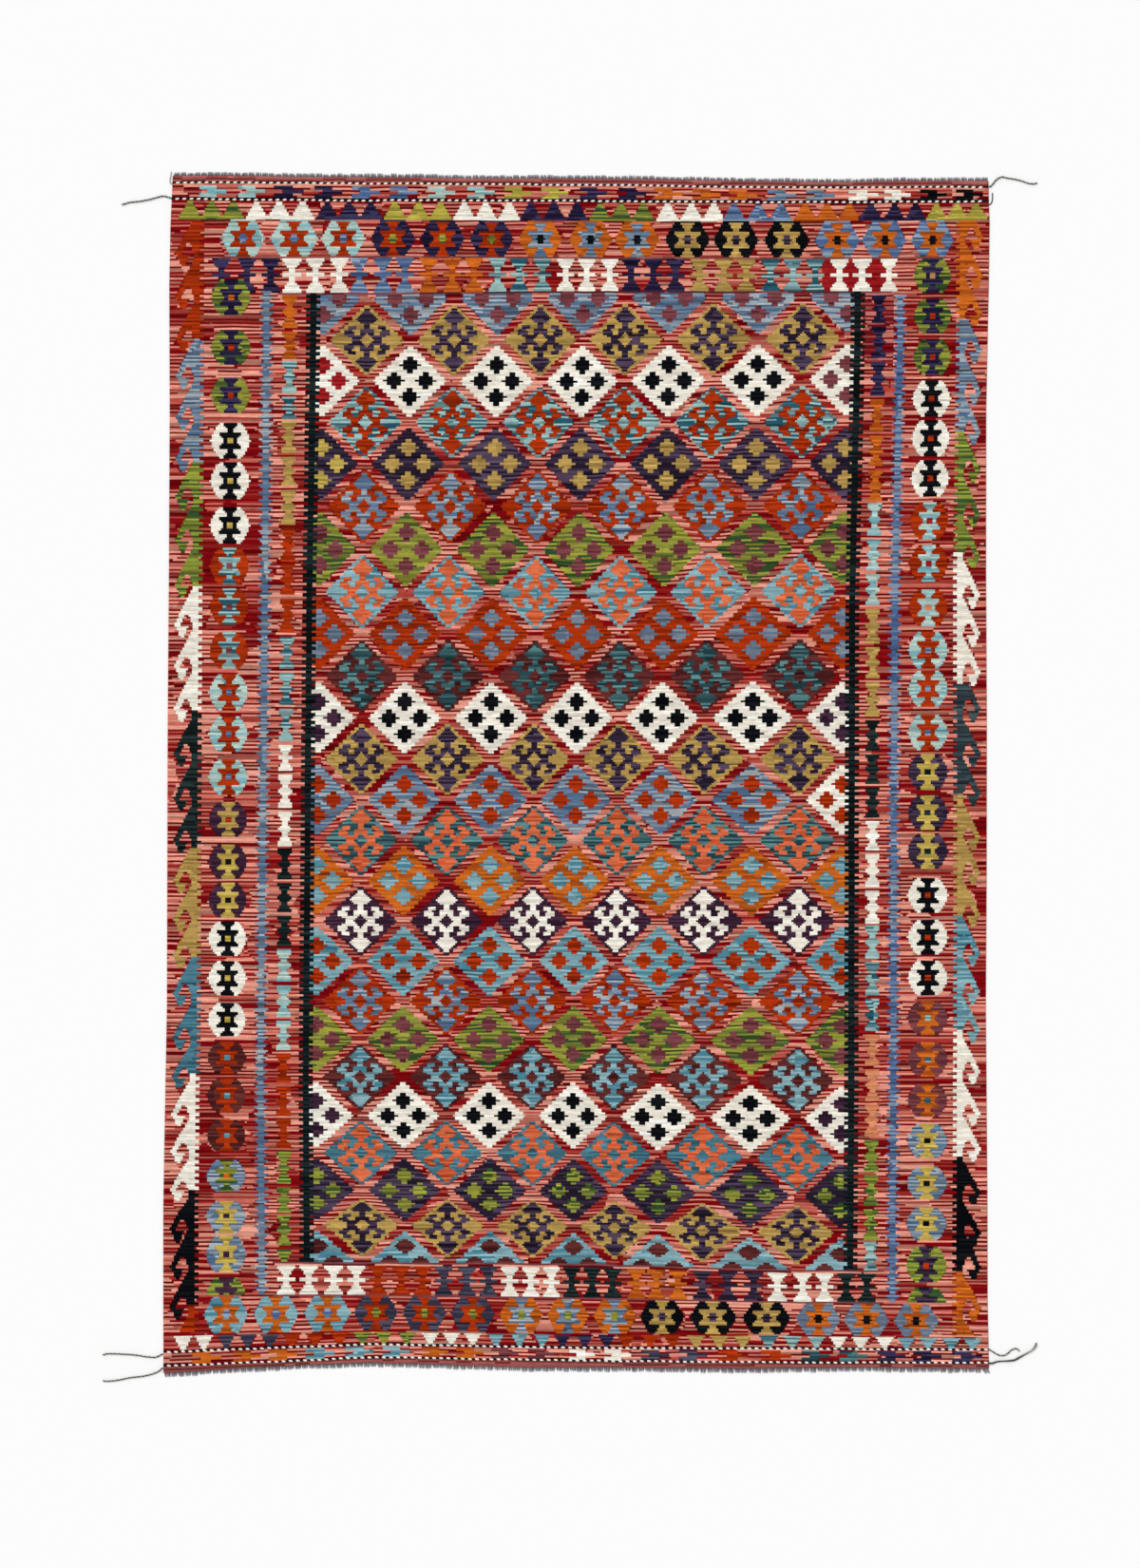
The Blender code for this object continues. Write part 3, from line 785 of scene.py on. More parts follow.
def dye_cells(chart):
    """A colour for each cell: its yarn's two tones, streaked along the weft within each area.
    A long row changes its streaks on the way, where the weaver filled it in parts."""
    tones = [(linear(main), linear(streak), *shares) for main, streak, *shares in YARNS.values()]
    chance = random.Random(SEEDS["dye"])
    parts = smooth_noise((ROWS, COLUMNS), (7, 10), SEEDS["parts"]) > 0.0
    drift = smooth_noise((ROWS, COLUMNS), (1, 6), SEEDS["drift"])
    colours = np.zeros((ROWS, COLUMNS, 3))
    above = []
    for row in range(ROWS):
        here = []
        for run in runs_of(chart[row]):
            areas = area_above(run, above)
            if areas is None:
                areas = (new_area(chance), new_area(chance))
            else:
                areas = tuple(dict(area) for area in areas)
            first, last, yarn = run
            main, streak, alternates, dark_rows = tones[yarn]
            here.append((*run, areas))
            lines = []
            for area in areas:
                share = next_tone(area, chance) * alternates
                shade = 1.0 + chance.gauss(0.0, ROW_SHADES)
                if chance.random() < dark_rows:
                    shade *= chance.uniform(*DARK_ROW_SHADES)
                mixed = share ** (ROSE_BLEND if yarn == YARN_NUMBERS["ground"] else YARN_BLEND)
                lines.append((main + (streak - main) * mixed) * shade)
            cells = np.where(parts[row, first:last + 1, None], *lines)
            shades = 1.0 + WEFT_DRIFT * drift[row, first:last + 1, None]
            colours[row, first:last + 1] = cells * shades
        above = here
    return np.clip(colours, 0.0, 1.0)


# ---------------------------------------------------------------- where the cells lie
def smooth_noise(shape, steps, seed):
    """Soft noise from -1 to 1 over an array, with a wave about as long as steps (rows, columns)."""
    coarse_rows = shape[0] // steps[0] + 3
    coarse_columns = shape[1] // steps[1] + 3
    coarse = np.random.default_rng(seed).uniform(-1.0, 1.0, (coarse_rows, coarse_columns))
    rows = np.arange(shape[0]) / steps[0]
    columns = np.arange(shape[1]) / steps[1]
    along = np.array([np.interp(columns, np.arange(coarse_columns), line) for line in coarse])
    return np.array([np.interp(rows, np.arange(coarse_rows), along[:, place])
                     for place in range(shape[1])]).T


def weft_bow(rows, columns):
    """How far the weft bows up over each of the field's diamonds and down under it."""
    turn = math.tau / (2 * FIELD_STEP)
    over = np.sin(turn * (FIELD_FIRST_ROW + 0.5 - rows))
    beside = np.cos(turn * (DIAMOND_COLUMNS[1] + 0.5 - columns))
    rows_in = np.clip(np.minimum(rows - FIELD_TOP, FIELD_FOOT - rows) / BOW_FADE, 0.0, 1.0)
    columns_in = np.clip(np.minimum(columns - FIELD_LEFT, FIELD_RIGHT - columns) / BOW_FADE, 0.0, 1.0)
    return WEFT_BOW * over * beside * rows_in * columns_in


def bent(rows, bends):
    """Where each key place of a table of bends lies, for every row of weave cells."""
    marks = [row for row, places in bends]
    return np.array([np.interp(rows, marks, line) for line in zip(*(places for row, places in bends))])


def grid_places(chart):
    """Where each corner of the weave cells lies on the cloth's upper face: x, y and z arrays."""
    rows = np.arange(ROWS + 1, dtype=float)
    columns = np.arange(COLUMNS + 1, dtype=float)
    head = [on_table(HEAD_EDGE, key_x, 1) for key_x in KEY_X]
    foot = [on_table(FOOT_EDGE, key_x, 1) for key_x in KEY_X]
    y_keys = bent(rows, ((0, head), *ROW_BENDS, (ROWS, foot)))
    x_keys = bent(rows, COLUMN_BENDS)
    stations = (0.0, *KEY_COLUMNS, float(COLUMNS))
    x = np.zeros((ROWS + 1, COLUMNS + 1))
    y = np.zeros_like(x)
    for row in range(ROWS + 1):
        left = side_edge(y_keys[0, row], "left")
        right = side_edge(y_keys[-1, row], "right")
        x[row] = np.interp(columns, stations, (left, *x_keys[:, row], right))
        y[row] = np.interp(x[row], KEY_X, y_keys[:, row])
    for place in range(COLUMNS + 1):
        y[0, place] = on_table(HEAD_EDGE, x[0, place], 1)
        y[-1, place] = on_table(FOOT_EDGE, x[-1, place], 1)
    inner = np.s_[1:-1, 1:-1]
    y[inner] += WEFT_WAVER * smooth_noise(x.shape, (3, 11), SEEDS["wefts"])[inner]
    y[inner] += weft_bow(rows[:, None], columns[None, :])[inner]
    x[inner] += WARP_WAVER * smooth_noise(x.shape, (14, 3), SEEDS["warps"])[inner]
    z = CLOTH_THICKNESS + swell(x, y) + FACE_WAVER * smooth_noise(x.shape, (4, 4), SEEDS["face"])
    beside = chart[:, 1:] != chart[:, :-1]
    slit = np.zeros_like(x)
    slit[inner] = beside[1:, :] & beside[:-1, :]
    z -= SLIT_DIP * slit
    for edge in (np.s_[0, :], np.s_[-1, :], np.s_[:, 0], np.s_[:, -1]):
        z[edge] = CLOTH_THICKNESS - EDGE_DROP
    return x, y, z


# ---------------------------------------------------------------- materials
def node(tree, kind, place, inputs=None, **values):
    """A new node of the tree, with plain numbers on some of its inputs."""
    made = tree.nodes.new(kind)
    made.location = place
    for name, value in values.items():
        setattr(made, name, value)
    for name, value in (inputs or {}).items():
        made.inputs[name].default_value = value
    return made


def join(tree, source, target):
    tree.links.new(source, target)


def math_node(tree, operation, place, first, second=None):
    """A sum on values, where each is a socket or a plain number."""
    made = node(tree, "ShaderNodeMath", place, operation=operation)
    for socket, value in zip(made.inputs, (first, second)):
        if isinstance(value, (int, float)):
            socket.default_value = value
        elif value is not None:
            join(tree, value, socket)
    return made.outputs[0]


def scaled(tree, place, colour, share):
    """A colour made lighter or darker by a share."""
    made = node(tree, "ShaderNodeVectorMath", place, operation="SCALE")
    join(tree, colour, made.inputs[0])
    join(tree, share, made.inputs["Scale"])
    return made.outputs["Vector"]


def ranged(tree, place, value, inputs):
    """A value taken from one range to another."""
    made = node(tree, "ShaderNodeMapRange", place, inputs)
    join(tree, value, made.inputs["Value"])
    return made.outputs["Result"]


def noise(tree, place, vector, scale, detail):
    made = node(tree, "ShaderNodeTexNoise", place, {"Scale": scale, "Detail": detail})
    join(tree, vector, made.inputs["Vector"])
    return made.outputs["Fac"]


def parted(tree, place, vector):
    """The X, Y and Z of a vector."""
    made = node(tree, "ShaderNodeSeparateXYZ", place)
    join(tree, vector, made.inputs["Vector"])
    return made.outputs


def new_group(name, *outputs):
    """A group of nodes that takes a place and puts out those values, with its first and last node."""
    group = bpy.data.node_groups.new(name, "ShaderNodeTree")
    group.interface.new_socket("Place", in_out="INPUT", socket_type="NodeSocketVector")
    for output in outputs:
        group.interface.new_socket(output, in_out="OUTPUT", socket_type="NodeSocketFloat")
    start = node(group, "NodeGroupInput", (-1500, 0))
    end = node(group, "NodeGroupOutput", (700, 0))
    return group, start.outputs["Place"], end.inputs


def weave_relief():
    """Warp ribs with the beaten weft over them: the height, and painted shade in the weave's hollows.
    """
    group, start, end = new_group("weave_relief", "Height", "Lightness")
    waver = noise(group, (-1300, -250), start, 55.0, 1.0)
    place = parted(group, (-1300, 50), start)
    wander = math_node(group, "MULTIPLY_ADD", (-1100, -250), waver, 0.0022)
    across = math_node(group, "ADD", (-900, 150), place["X"], wander)
    ribs = math_node(group, "MULTIPLY", (-700, 150), across, 1.0 / WARP_PITCH)
    rib = math_node(group, "PINGPONG", (-500, 150), ribs, 0.5)
    odd = math_node(group, "FLOOR", (-500, 300), ribs)
    along = math_node(group, "ADD", (-900, -50), place["Y"], wander)
    wefts = math_node(group, "MULTIPLY", (-700, -50), along, 1.0 / WEFT_PITCH)
    stepped = math_node(group, "MULTIPLY", (-350, 300), odd, 0.5)
    staggered = math_node(group, "ADD", (-350, -50), wefts, stepped)
    weft = math_node(group, "PINGPONG", (-150, -50), staggered, 0.5)
    rib_round = math_node(group, "POWER", (-300, 150), rib, YARN_ROUNDNESS)
    weft_round = math_node(group, "POWER", (0, -50), weft, YARN_ROUNDNESS)
    both = math_node(group, "MULTIPLY_ADD", (200, 50), weft_round, 0.45)
    join(group, rib_round, both.node.inputs[2])
    join(group, both, end["Height"])
    # Painted shade: darker down in the hollows of the weave, a little lighter on the yarn's tops.
    deep = ranged(group, (450, -150), both, {"From Max": 0.75, "To Min": 0.62, "To Max": 1.08})
    join(group, deep, end["Lightness"])
    return group


def fibre_mottle():
    """The uneven dye and loose fibre of hand-spun wool, drawn out along the weft."""
    group, start, end = new_group("fibre_mottle", "Lightness", "Fuzz")
    drawn = node(group, "ShaderNodeMapping", (-800, 150), {"Scale": (70.0, 820.0, 70.0)})
    join(group, start, drawn.inputs["Vector"])
    threads = noise(group, (-550, 150), drawn.outputs["Vector"], 1.0, 3.0)
    fuzz = noise(group, (-550, -150), start, 700.0, 3.0)
    shade = ranged(group, (-250, 150), threads, {
        "From Min": 0.25, "From Max": 0.75, "To Min": 0.72, "To Max": 1.28,
    })
    speckle = ranged(group, (-250, -150), fuzz, {
        "From Min": 0.3, "From Max": 0.7, "To Min": 0.9, "To Max": 1.1,
    })
    join(group, math_node(group, "MULTIPLY", (50, 0), shade, speckle), end["Lightness"])
    join(group, fuzz, end["Fuzz"])
    return group


def grouped(tree, group, place, vector):
    """What a node group puts out for a place."""
    made = node(tree, "ShaderNodeGroup", place, node_tree=group)
    join(tree, vector, made.inputs["Place"])
    return made.outputs


def new_material(name, inputs):
    """A material with plain numbers on its shader; the material and the shader."""
    made = bpy.data.materials.new(name)
    made.use_nodes = True
    shader = made.node_tree.nodes["Principled BSDF"]
    for socket, value in inputs.items():
        shader.inputs[socket].default_value = value
    return made, shader


def wool(name, roughness, sheen, strength, depth):
    """Wool in the yarn colour kept with each face, with what its cloth or yarn adds to."""
    made, shader = new_material(name, {
        "Roughness": roughness,
        "Sheen Weight": sheen,
        "Sheen Roughness": 0.6,
        "Specular IOR Level": 0.02,
    })
    tree = made.node_tree
    colour = node(tree, "ShaderNodeAttribute", (-1100, 300), attribute_name="yarn_colour")
    place = node(tree, "ShaderNodeTexCoord", (-1500, 0)).outputs["Object"]
    mottle = grouped(tree, bpy.data.node_groups["fibre_mottle"], (-1100, 50), place)
    dyed = scaled(tree, (-800, 250), colour.outputs["Color"], mottle["Lightness"])
    bump = node(tree, "ShaderNodeBump", (-300, -200), {"Strength": strength, "Distance": depth})
    join(tree, bump.outputs["Normal"], shader.inputs["Normal"])
    return SimpleNamespace(
        material=made, tree=tree, place=place, dyed=dyed, fuzz=mottle["Fuzz"],
        colour=shader.inputs["Base Color"], height=bump.inputs["Height"],
    )


def woven_wool():
    """The cloth: weft-faced ribs over the warp, with painted shade down in the weave and along its
    slits.
    """
    cloth = wool("woven_wool", 0.95, 0.008, 0.55, 0.0009)
    tree = cloth.tree
    relief = grouped(tree, weave_relief(), (-1100, -250), cloth.place)
    # Painted shade in the weave's hollows, then along the slits and under each row.
    shaded = scaled(tree, (-550, 200), cloth.dyed, relief["Lightness"])
    shade_painted_in_slits = scaled(tree, (-300, 200), shaded, slit_shade(tree))
    join(tree, shade_painted_in_slits, cloth.colour)
    height = math_node(tree, "MULTIPLY_ADD", (-550, -250), cloth.fuzz, 0.35)
    join(tree, relief["Height"], height.node.inputs[2])
    join(tree, height, cloth.height)
    return cloth.material


def slit_shade(tree):
    """Painted shade at the side of a weave cell where two colours part in a slit, and a painted shadow
    under each row.
    """
    cell = node(tree, "ShaderNodeUVMap", (-1500, -500), uv_map="weave")
    place = parted(tree, (-1300, -500), cell.outputs["UV"])
    along = math_node(tree, "FRACT", (-1100, -500), place["X"])
    sides = node(tree, "ShaderNodeAttribute", (-1300, -700), attribute_name="slits")
    side = parted(tree, (-1100, -700), sides.outputs["Vector"])
    near_left = math_node(tree, "LESS_THAN", (-900, -450), along, SLIT_SHARE)
    near_right = math_node(tree, "GREATER_THAN", (-900, -600), along, 1.0 - SLIT_SHARE)
    left = math_node(tree, "MULTIPLY", (-700, -450), near_left, side["X"])
    right = math_node(tree, "MULTIPLY", (-700, -600), near_right, side["Y"])
    down = math_node(tree, "FRACT", (-1100, -900), place["Y"])
    between = math_node(tree, "LESS_THAN", (-900, -900), down, ROW_SHADE_SHARE)
    row_shade = math_node(tree, "MULTIPLY", (-700, -900), between, ROW_SHADE)
    beside = math_node(tree, "ADD", (-500, -500), left, right)
    dark = math_node(tree, "MAXIMUM", (-350, -650), beside, row_shade)
    return ranged(tree, (-300, -500), dark, {"To Min": 1.0, "To Max": SLIT_LIGHT})


def spun_wool(name, roughness, sheen, depth):
    """Loose yarn: its fibres only."""
    yarn = wool(name, roughness, sheen, 0.5, depth)
    join(yarn.tree, yarn.dyed, yarn.colour)
    join(yarn.tree, yarn.fuzz, yarn.height)
    return yarn.material


# ---------------------------------------------------------------- pieces
def keep_with_faces(mesh, name, kind, values):
    """A colour or a vector for each face, kept with the mesh under that name."""
    store = mesh.attributes.new(name, kind, "FACE")
    field, size, fill = ("color", 4, 1.0) if kind == "FLOAT_COLOR" else ("vector", 3, 0.0)
    flat = np.full((len(mesh.polygons), size), fill, dtype=np.float32)
    flat[:, :values.shape[1]] = values
    store.data.foreach_set(field, flat.ravel())


def place_object(name, data):
    """A new object in the scene that holds that mesh, light or camera."""
    made = bpy.data.objects.new(name, data)
    bpy.context.scene.collection.objects.link(made)
    return made


def new_piece(name, corners, faces, colours, finish, nodes):
    """A piece of the rug as one mesh, in the place of those CAD nodes."""
    mesh = bpy.data.meshes.new(name)
    mesh.from_pydata(corners, [], faces)
    mesh.update()
    keep_with_faces(mesh, "yarn_colour", "FLOAT_COLOR", np.array(colours))
    mesh.materials.append(finish)
    piece = place_object(name, mesh)
    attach(piece, "root")
    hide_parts(*nodes)
    return piece


def lay_maps(mesh, cells):
    """The flat map for the baked picture, and the map of weave cells."""
    corners = np.empty(len(mesh.loops), dtype=int)
    mesh.loops.foreach_get("vertex_index", corners)
    spots = np.array(cells, dtype=float)[corners]
    low, high = spots.min(axis=0), spots.max(axis=0)
    baked = mesh.uv_layers.new(name="OFBake")
    baked.data.foreach_set("uv", (0.004 + 0.992 * (spots - low) / (high - low)).ravel())
    weave = mesh.uv_layers.new(name="weave")
    weave.data.foreach_set("uv", spots.ravel())


def cloth_tile(name, weave, rows, columns, finish, stride, underside):
    """A rectangle of weave cells as one piece of the cloth's upper face or underside."""
    x, y, z = weave.places
    row_marks = list(range(rows[0], rows[1] + 1))
    column_marks = list(range(columns[0], columns[1], stride)) + [columns[1]]
    across = len(column_marks)
    grid = np.ix_(row_marks, column_marks)
    height = np.full(x[grid].shape, UNDERSIDE_LIFT) if underside else z[grid]
    corners = np.stack((x[grid], y[grid], height), axis=-1).reshape(-1, 3).tolist()
    cells = [(column, ROWS - row) for row in row_marks for column in column_marks]
    faces, tones, slits = [], [], []
    for down, row in enumerate(row_marks[:-1]):
        for along, column in enumerate(column_marks[:-1]):
            first = down * across + along
            face = (first, first + across, first + across + 1, first + 1)
            faces.append(face[::-1] if underside else face)
            tones.append(weave.colours[row, column])
            slits.append((0.0, 0.0) if underside else weave.slit_sides[row, column])
    if not underside:
        add_skirt(corners, faces, tones, cells, weave, rows, columns)
        slits.extend([(0.0, 0.0)] * (len(faces) - len(slits)))
    piece = new_piece(name, corners, faces, tones, finish, ("kilim_cloth",))
    keep_with_faces(piece.data, "slits", "FLOAT_VECTOR", np.array(slits))
    lay_maps(piece.data, cells)
    tile_rows = slice(rows[0], rows[1] + 1)
    tile_columns = slice(columns[0], columns[1] + 1)


def add_skirt(corners, faces, tones, cells, weave, rows, columns):
    """The cloth's own edge, from its upper face down to the underside, where the tile has one."""
    x, y, z = weave.places
    runs = []
    if rows[0] == 0:
        runs.append([(0, column) for column in range(columns[1], columns[0] - 1, -1)])
    if rows[1] == ROWS:
        runs.append([(ROWS, column) for column in range(columns[0], columns[1] + 1)])
    if columns[0] == 0:
        runs.append([(row, 0) for row in range(rows[0], rows[1] + 1)])
    if columns[1] == COLUMNS:
        runs.append([(row, COLUMNS) for row in range(rows[1], rows[0] - 1, -1)])
    for run in runs:
        start = len(corners)
        for row, column in run:
            corners.append((x[row, column], y[row, column], z[row, column]))
            corners.append((x[row, column], y[row, column], UNDERSIDE_LIFT))
            aside = SKIRT_SHARE * np.sign(COLUMNS / 2 - column)
            down = SKIRT_SHARE * np.sign(ROWS / 2 - row)
            cells.append((column, ROWS - row))
            cells.append((column + aside, ROWS - row - down))
        for step, (row, column) in enumerate(run[:-1]):
            first = start + 2 * step
            faces.append((first, first + 1, first + 3, first + 2))
            tones.append(weave.colours[min(row, ROWS - 1), min(column, COLUMNS - 1)])


def make_cloth(chart, places, finish):
    """The cloth's upper face in four bands of two tiles, and its underside in three."""
    change = np.ones((ROWS, COLUMNS + 1))
    change[:, 1:-1] = chart[:, 1:] != chart[:, :-1]
    slit_sides = np.stack((change[:, :-1], change[:, 1:]), axis=-1)
    weave = SimpleNamespace(places=places, colours=dye_cells(chart), slit_sides=slit_sides)
    for face, bands, stride in (("kilim", 4, 1), ("kilim_underside", 3, 2)):
        for down in range(bands):
            rows = (ROWS * down // bands, ROWS * (down + 1) // bands)
            for along, side in enumerate(("left", "right")):
                columns = (COLUMNS * along // 2, COLUMNS * (along + 1) // 2)
                name = f"{face}_{down + 1}_{side}"
                cloth_tile(name, weave, rows, columns, finish, stride, face != "kilim")


def add_stitch(corners, faces, centre, slant):
    """A plump stitch lying a little aslant: a low half of an egg. Gives its number of faces."""
    along = Vector((1.0, slant, 0.0)).normalized()
    aside = Vector((-along.y, along.x, 0.0))
    start = len(corners)
    for ring in range(STITCH_RINGS + 1):
        turn = math.pi * ring / STITCH_RINGS
        reach = -math.cos(turn) * STITCH_HALF_LENGTH
        fat = max(math.sin(turn), STITCH_END) ** 0.7
        for side in range(STITCH_SIDES + 1):
            lean = math.pi * side / STITCH_SIDES
            point = centre + along * reach + aside * (math.cos(lean) * STITCH_HALF_WIDTH * fat)
            corners.append((point.x, point.y, centre.z + math.sin(lean) * STITCH_RISE * fat))
    for ring in range(STITCH_RINGS):
        for side in range(STITCH_SIDES):
            first = start + ring * (STITCH_SIDES + 1) + side
            faces.append((first, first + STITCH_SIDES + 1, first + STITCH_SIDES + 2, first + 1))
    return STITCH_RINGS * STITCH_SIDES


def make_twining(places, finish):
    """The two black and white twined rows at each end, a quarter of the width at a time."""
    x, y = places[:2]
    white, dark = linear(STITCH_WHITE), linear(STITCH_DARK)
    step = STITCH_PITCH / 2.0
    ends = (("head", TWINED_LINES[:2], STITCH_SLANT), ("foot", TWINED_LINES[2:], -STITCH_SLANT))
    for end, lines, slant in ends:
        for quarter in range(4):  # of the rug's width
            corners, faces, tones = [], [], []
            for line in lines:
                row = int(line)
                share = line - row
                line_x = x[row] * (1 - share) + x[row + 1] * share
                line_y = y[row] * (1 - share) + y[row + 1] * share
                count = int((line_x[-1] - line_x[0]) / step)
                for stitch in range(count * quarter // 4, count * (quarter + 1) // 4):
                    at_x = line_x[0] + step * (stitch + 0.5)
                    at_y = float(np.interp(at_x, line_x, line_y))
                    top = CLOTH_THICKNESS + float(swell(at_x, at_y)) - STITCH_SINK
                    made = add_stitch(corners, faces, Vector((at_x, at_y, top)), slant)
                    tones.extend([white if stitch % 2 else dark] * made)
            new_piece(f"twined_rows_{end}_{quarter + 1}", corners, faces, tones,
                      finish, ("kilim_cloth",))


def add_strand(corners, faces, spine, fat, outwards):
    """A blunt, slightly flattened strand of warp along a few points; its number of faces."""
    start = len(corners)
    steps = len(spine) - 1
    for step, point in enumerate(spine):
        half = fat * (1.0 - STRAND_NARROWING * (step / steps) ** 3)
        for turn in range(STRAND_SIDES):
            angle = math.tau * (turn + 0.5) / STRAND_SIDES
            height = point.z + STRAND_FLATNESS * half * math.sin(angle)
            corners.append((point.x + half * math.cos(angle), point.y, max(FLOOR_GAP, height)))
    for step in range(steps):
        low = start + STRAND_SIDES * step
        high = low + STRAND_SIDES
        for turn in range(STRAND_SIDES):
            following = (turn + 1) % STRAND_SIDES
            face = (low + turn, low + following, high + following, high + turn)
            faces.append(face if outwards < 0 else face[::-1])
    tip = tuple(start + STRAND_SIDES * steps + turn for turn in range(STRAND_SIDES))
    faces.append(tip if outwards < 0 else tip[::-1])
    return STRAND_SIDES * steps + 1


def add_lock(corners, faces, tones, table, outwards, lock_x, pitch, lock_length, lean, chance):
    """One lock of cut warp ends: short strands side by side that lean together."""
    root, tip = linear(FRINGE_ROOT_COLOUR), linear(FRINGE_TIP_COLOUR)
    for strand in range(LOCK_STRANDS):
        place = (strand + 0.5) / LOCK_STRANDS - 0.5
        at_x = lock_x + pitch * STRAND_SPREAD * place
        at_x += chance.uniform(-STRAND_SCATTER, STRAND_SCATTER)
        at_y = on_table(table, at_x, 1) - outwards * FRINGE_ROOT_DEPTH
        length = lock_length * chance.uniform(SHORTEST_STRAND, 1.0) + FRINGE_STRIP + FRINGE_ROOT_DEPTH
        aside = lean - pitch * place * LOCK_GATHER + chance.uniform(-STRAND_STRAY, STRAND_STRAY)
        lift = chance.uniform(0.0, STRAND_LIFT)
        spine = []
        for step in range(STRAND_STEPS + 1):
            share = step / STRAND_STEPS
            height = STRAND_HEIGHT - STRAND_DROOP * share + lift * math.sin(math.pi * share)
            reach = at_y + outwards * length * share
            spine.append(Vector((at_x + aside * share ** 1.6, reach, height)))
        made = add_strand(corners, faces, spine, chance.uniform(*STRAND_HALF_WIDTHS), outwards)
        shade = chance.uniform(*STRAND_SHADES)
        for number in range(made):
            share = min(1.0, (number // 4 + 0.5) / STRAND_STEPS)
            tones.append((root + (tip - root) * share ** 2) * shade)


def make_fringe(end, finish):
    """The short cut warp ends, in small locks, a quarter of the width each."""
    chance = random.Random(SEEDS["fringe"] + (end == "foot"))
    outwards = 1.0 if end == "head" else -1.0
    table = HEAD_EDGE if end == "head" else FOOT_EDGE
    left = side_edge(table[0][1], "left") + FRINGE_INSET
    right = side_edge(table[-1][1], "right") - FRINGE_INSET
    pitch = (right - left) / FRINGE_LOCKS
    for quarter in range(4):
        corners, faces, tones = [], [], []
        for lock in range(FRINGE_LOCKS * quarter // 4, FRINGE_LOCKS * (quarter + 1) // 4):
            lock_x = left + pitch * (lock + 0.5)
            lock_length = chance.uniform(*FRINGE_LENGTHS[end])
            lean = chance.uniform(-FRINGE_LEAN, FRINGE_LEAN)
            if end == "foot" and lock == FRINGE_LOCKS - 1:
                lean = CORNER_TUFT_LEAN
            add_lock(corners, faces, tones, table, outwards, lock_x, pitch, lock_length, lean, chance)
        new_piece(f"fringe_{end}_{quarter + 1}", corners, faces, tones, finish,
                  (f"fringe_{end}",))


def smooth_route(points):
    """A smooth curve through the points (Catmull-Rom), as many short steps."""
    route = [Vector((x, y, 0.0)) for x, y in points]
    padded = [2 * route[0] - route[1], *route, 2 * route[-1] - route[-2]]
    steps = []
    for before, start, stop, after in zip(padded, padded[1:], padded[2:], padded[3:]):
        for step in range(SPLINE_STEPS):
            t = step / SPLINE_STEPS
            steps.append(0.5 * (
                2 * start
                + (stop - before) * t
                + (2 * before - 5 * start + 4 * stop - after) * t ** 2
                + (3 * start - before - 3 * stop + after) * t ** 3
            ))
    return steps + [route[-1]]


def even_points(route, spacing):
    """Points along the route, evenly spaced at about that distance, and how far along they lie."""
    reached = [0.0]
    for start, stop in zip(route, route[1:]):
        reached.append(reached[-1] + (stop - start).length)
    table = [(far, *point) for far, point in zip(reached, route)]
    count = max(2, round(reached[-1] / spacing))
    marks = [reached[-1] * step / count for step in range(count + 1)]
    points = [Vector([on_table(table, mark, axis) for axis in (1, 2, 3)]) for mark in marks]
    return points, marks


def tail_route(width, side, leaves_at, route):
    """The middle line of a tail, from the cloth's edge to its free end."""
    outwards = -1.0 if side == "left" else 1.0
    exit_x = side_edge(leaves_at, side) + outwards * CLEARANCE
    start = [(exit_x, leaves_at), (exit_x + outwards * STRAIGHT_OUT, leaves_at)]
    points, marks = even_points(smooth_route(start + list(route)), TAIL_STEP)
    first_lean = abs((points[1] - points[0]).normalized().y)
    shift = Vector((outwards * first_lean * width / 2.0, 0.0, width / 2.0))
    return [point + shift for point in points], marks


def round_about(aside, angle):
    """The direction at that angle round a line, from aside up over it."""
    return math.cos(angle) * aside + Vector((0.0, 0.0, math.sin(angle)))


def add_ply(corners, faces, tones, line, marks, radius, offset, turn, phase, tone):
    """One ply as a tube round the tail's middle line, at that offset from it."""
    start = len(corners)
    for place, (point, mark) in enumerate(zip(line, marks)):
        ahead = line[min(place + 1, len(line) - 1)] - line[max(place - 1, 0)]
        ahead.normalize()
        aside = Vector((-ahead.y, ahead.x, 0.0))
        angle = phase + (math.tau * mark / turn if turn else 0.0)
        centre = point + offset * round_about(aside, angle)
        taper = radius * (TIP_SHARE if place == len(line) - 1 else 1.0)
        for side in range(PLY_SIDES):
            rim = centre + taper * round_about(aside, math.tau * side / PLY_SIDES)
            corners.append(tuple(rim))
    for place in range(len(line) - 1):
        low = start + PLY_SIDES * place
        high = low + PLY_SIDES
        for side in range(PLY_SIDES):
            following = (side + 1) % PLY_SIDES
            faces.append((low + side, low + following, high + following, high + side))
            tones.append(tone)
    faces.append(tuple(start + side for side in reversed(range(PLY_SIDES))))
    faces.append(tuple(start + PLY_SIDES * (len(line) - 1) + side for side in range(PLY_SIDES)))
    tones.extend([tone, tone])


def make_tail(name, finish):
    """A loose tail of a twined row: two plies turned together, or one yarn of one colour."""
    yarn, width, turn, side, leaves_at, route = TAILS[name]
    line, marks = tail_route(width, side, leaves_at, route)
    white, dark = linear(TAIL_WHITE), linear(TAIL_DARK)
    corners, faces, tones = [], [], []
    if turn:
        for ply, tone in enumerate((dark, white)):
            add_ply(corners, faces, tones, line, marks, width * PLY_RADIUS_SHARE,
                    width * PLY_OFFSET_SHARE, turn, math.pi * ply, tone)
    else:
        tone = white if yarn == "ivory" else dark
        add_ply(corners, faces, tones, line, marks, width / 2.0, 0.0, None, 0.0, tone)
    piece = new_piece(name + "_yarn", corners, faces, tones, finish, (name,))
    for face in piece.data.polygons:
        face.use_smooth = True


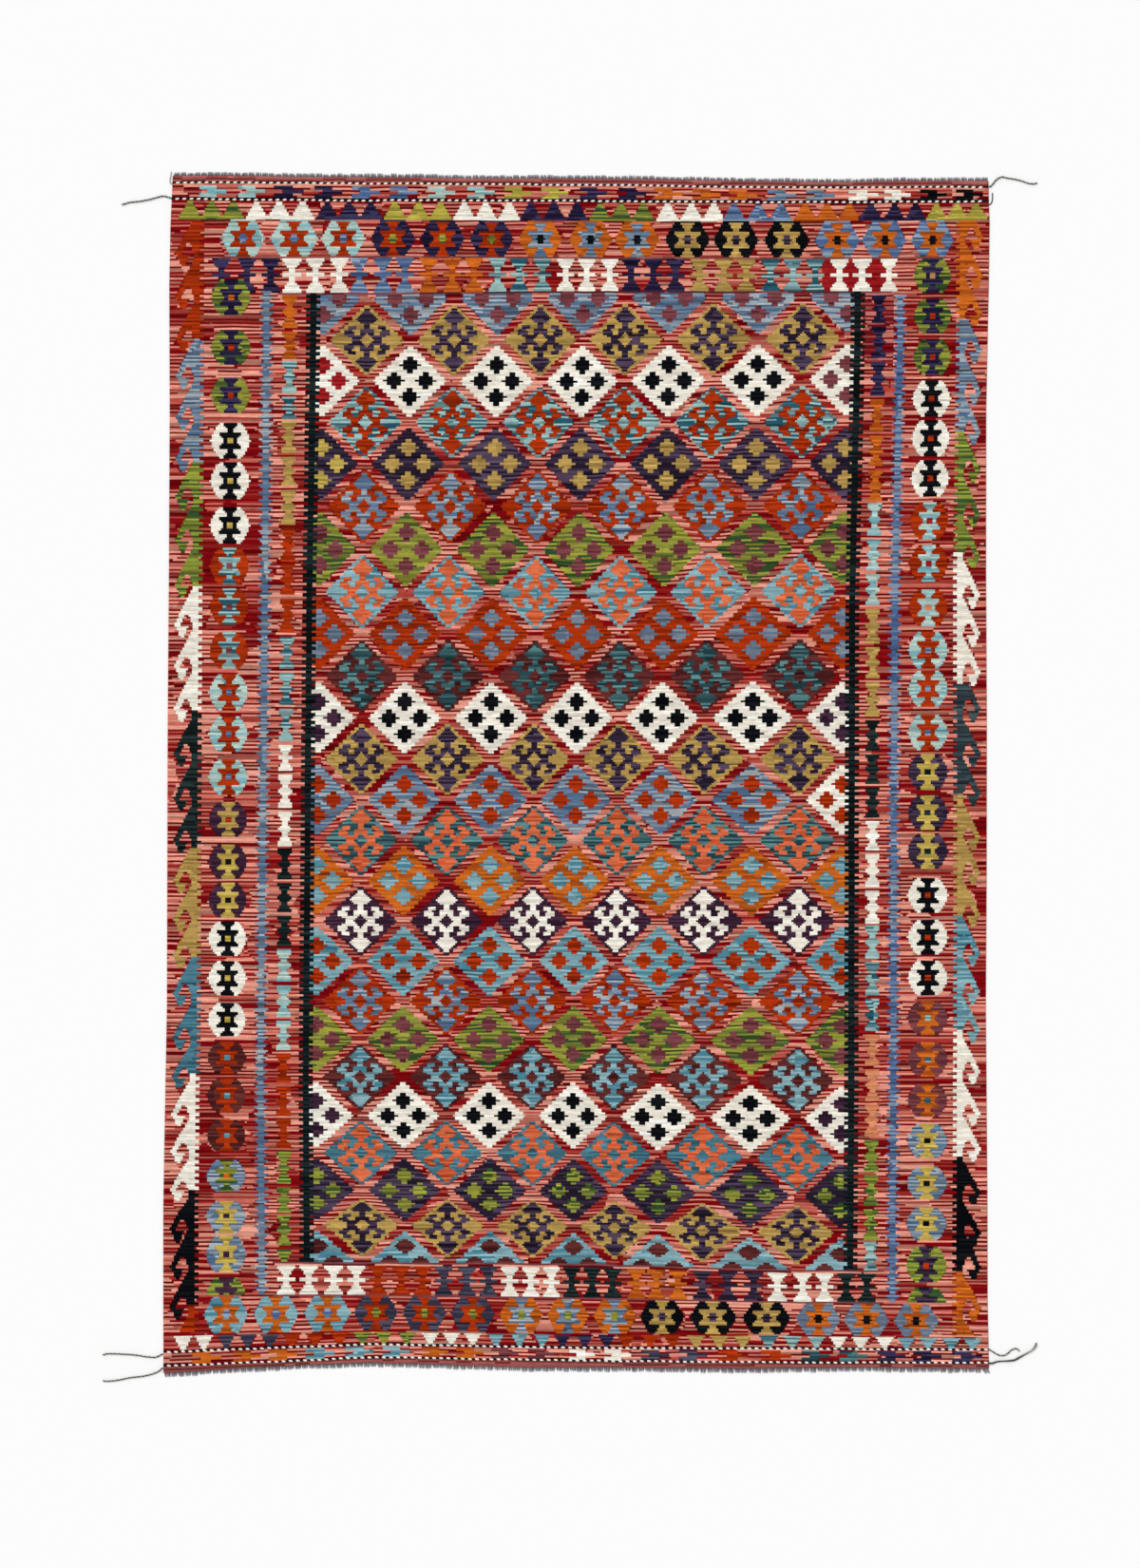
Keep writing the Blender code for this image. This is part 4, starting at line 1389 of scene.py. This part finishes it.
# ---------------------------------------------------------------- floor, light and camera
def make_floor():
    """A plain pale floor, a little below the rug."""
    mesh = bpy.data.meshes.new("pale_floor")
    corners = [(-FLOOR, -FLOOR, 0), (FLOOR, -FLOOR, 0), (FLOOR, FLOOR, 0), (-FLOOR, FLOOR, 0)]
    mesh.from_pydata(corners, [], [(0, 1, 2, 3)])
    finish = new_material("pale_floor", {
        "Base Color": (0.97, 0.97, 0.97, 1.0),
        "Roughness": 0.9,
        "Specular IOR Level": 0.1,
    })[0]
    mesh.materials.append(finish)
    floor = place_object("pale_floor", mesh)
    floor.location = (0.0, 0.0, -0.0004)


def make_light():
    """Even light from the room, and a broad window beyond the rug's left side."""
    world = bpy.data.worlds.new("soft_room")
    world.use_nodes = True
    room = world.node_tree.nodes["Background"]
    room.inputs["Color"].default_value = (1.0, 1.0, 1.0, 1.0)
    room.inputs["Strength"].default_value = ROOM_STRENGTH
    bpy.context.scene.world = world
    lamp = bpy.data.lights.new("window", "SUN")
    lamp.angle = math.radians(WINDOW_WIDTH)
    lamp.energy = WINDOW_STRENGTH
    window = place_object("window", lamp)
    window.location = WINDOW_PLACE
    window.rotation_euler = (-window.location).to_track_quat("-Z", "Y").to_euler()


def make_camera():
    """The photo's view, from straight above."""
    eye = bpy.data.cameras.new("over_the_rug")
    eye.lens = LENS
    eye.sensor_fit = "VERTICAL"
    eye.sensor_height = SENSOR
    eye.clip_end = 300.0
    camera = place_object("over_the_rug", eye)
    camera.location = (*VIEW_MIDDLE, VIEW_LENGTH * LENS / SENSOR)
    bpy.context.scene.camera = camera
    bpy.context.scene.view_settings.view_transform = "Standard"


make_floor()
make_light()
make_camera()
fibre_mottle()
yarn_finish = spun_wool("spun_yarn", 0.9, 0.03, 0.0003)
for tail in TAILS:
    make_tail(tail, yarn_finish)
pattern = chart_pattern()
cell_places = grid_places(pattern)
make_twining(cell_places, yarn_finish)
warp_finish = spun_wool("cut_warp_ends", 0.95, 0.03, 0.0002)
for cloth_end in ("head", "foot"):
    make_fringe(cloth_end, warp_finish)
make_cloth(pattern, cell_places, woven_wool())
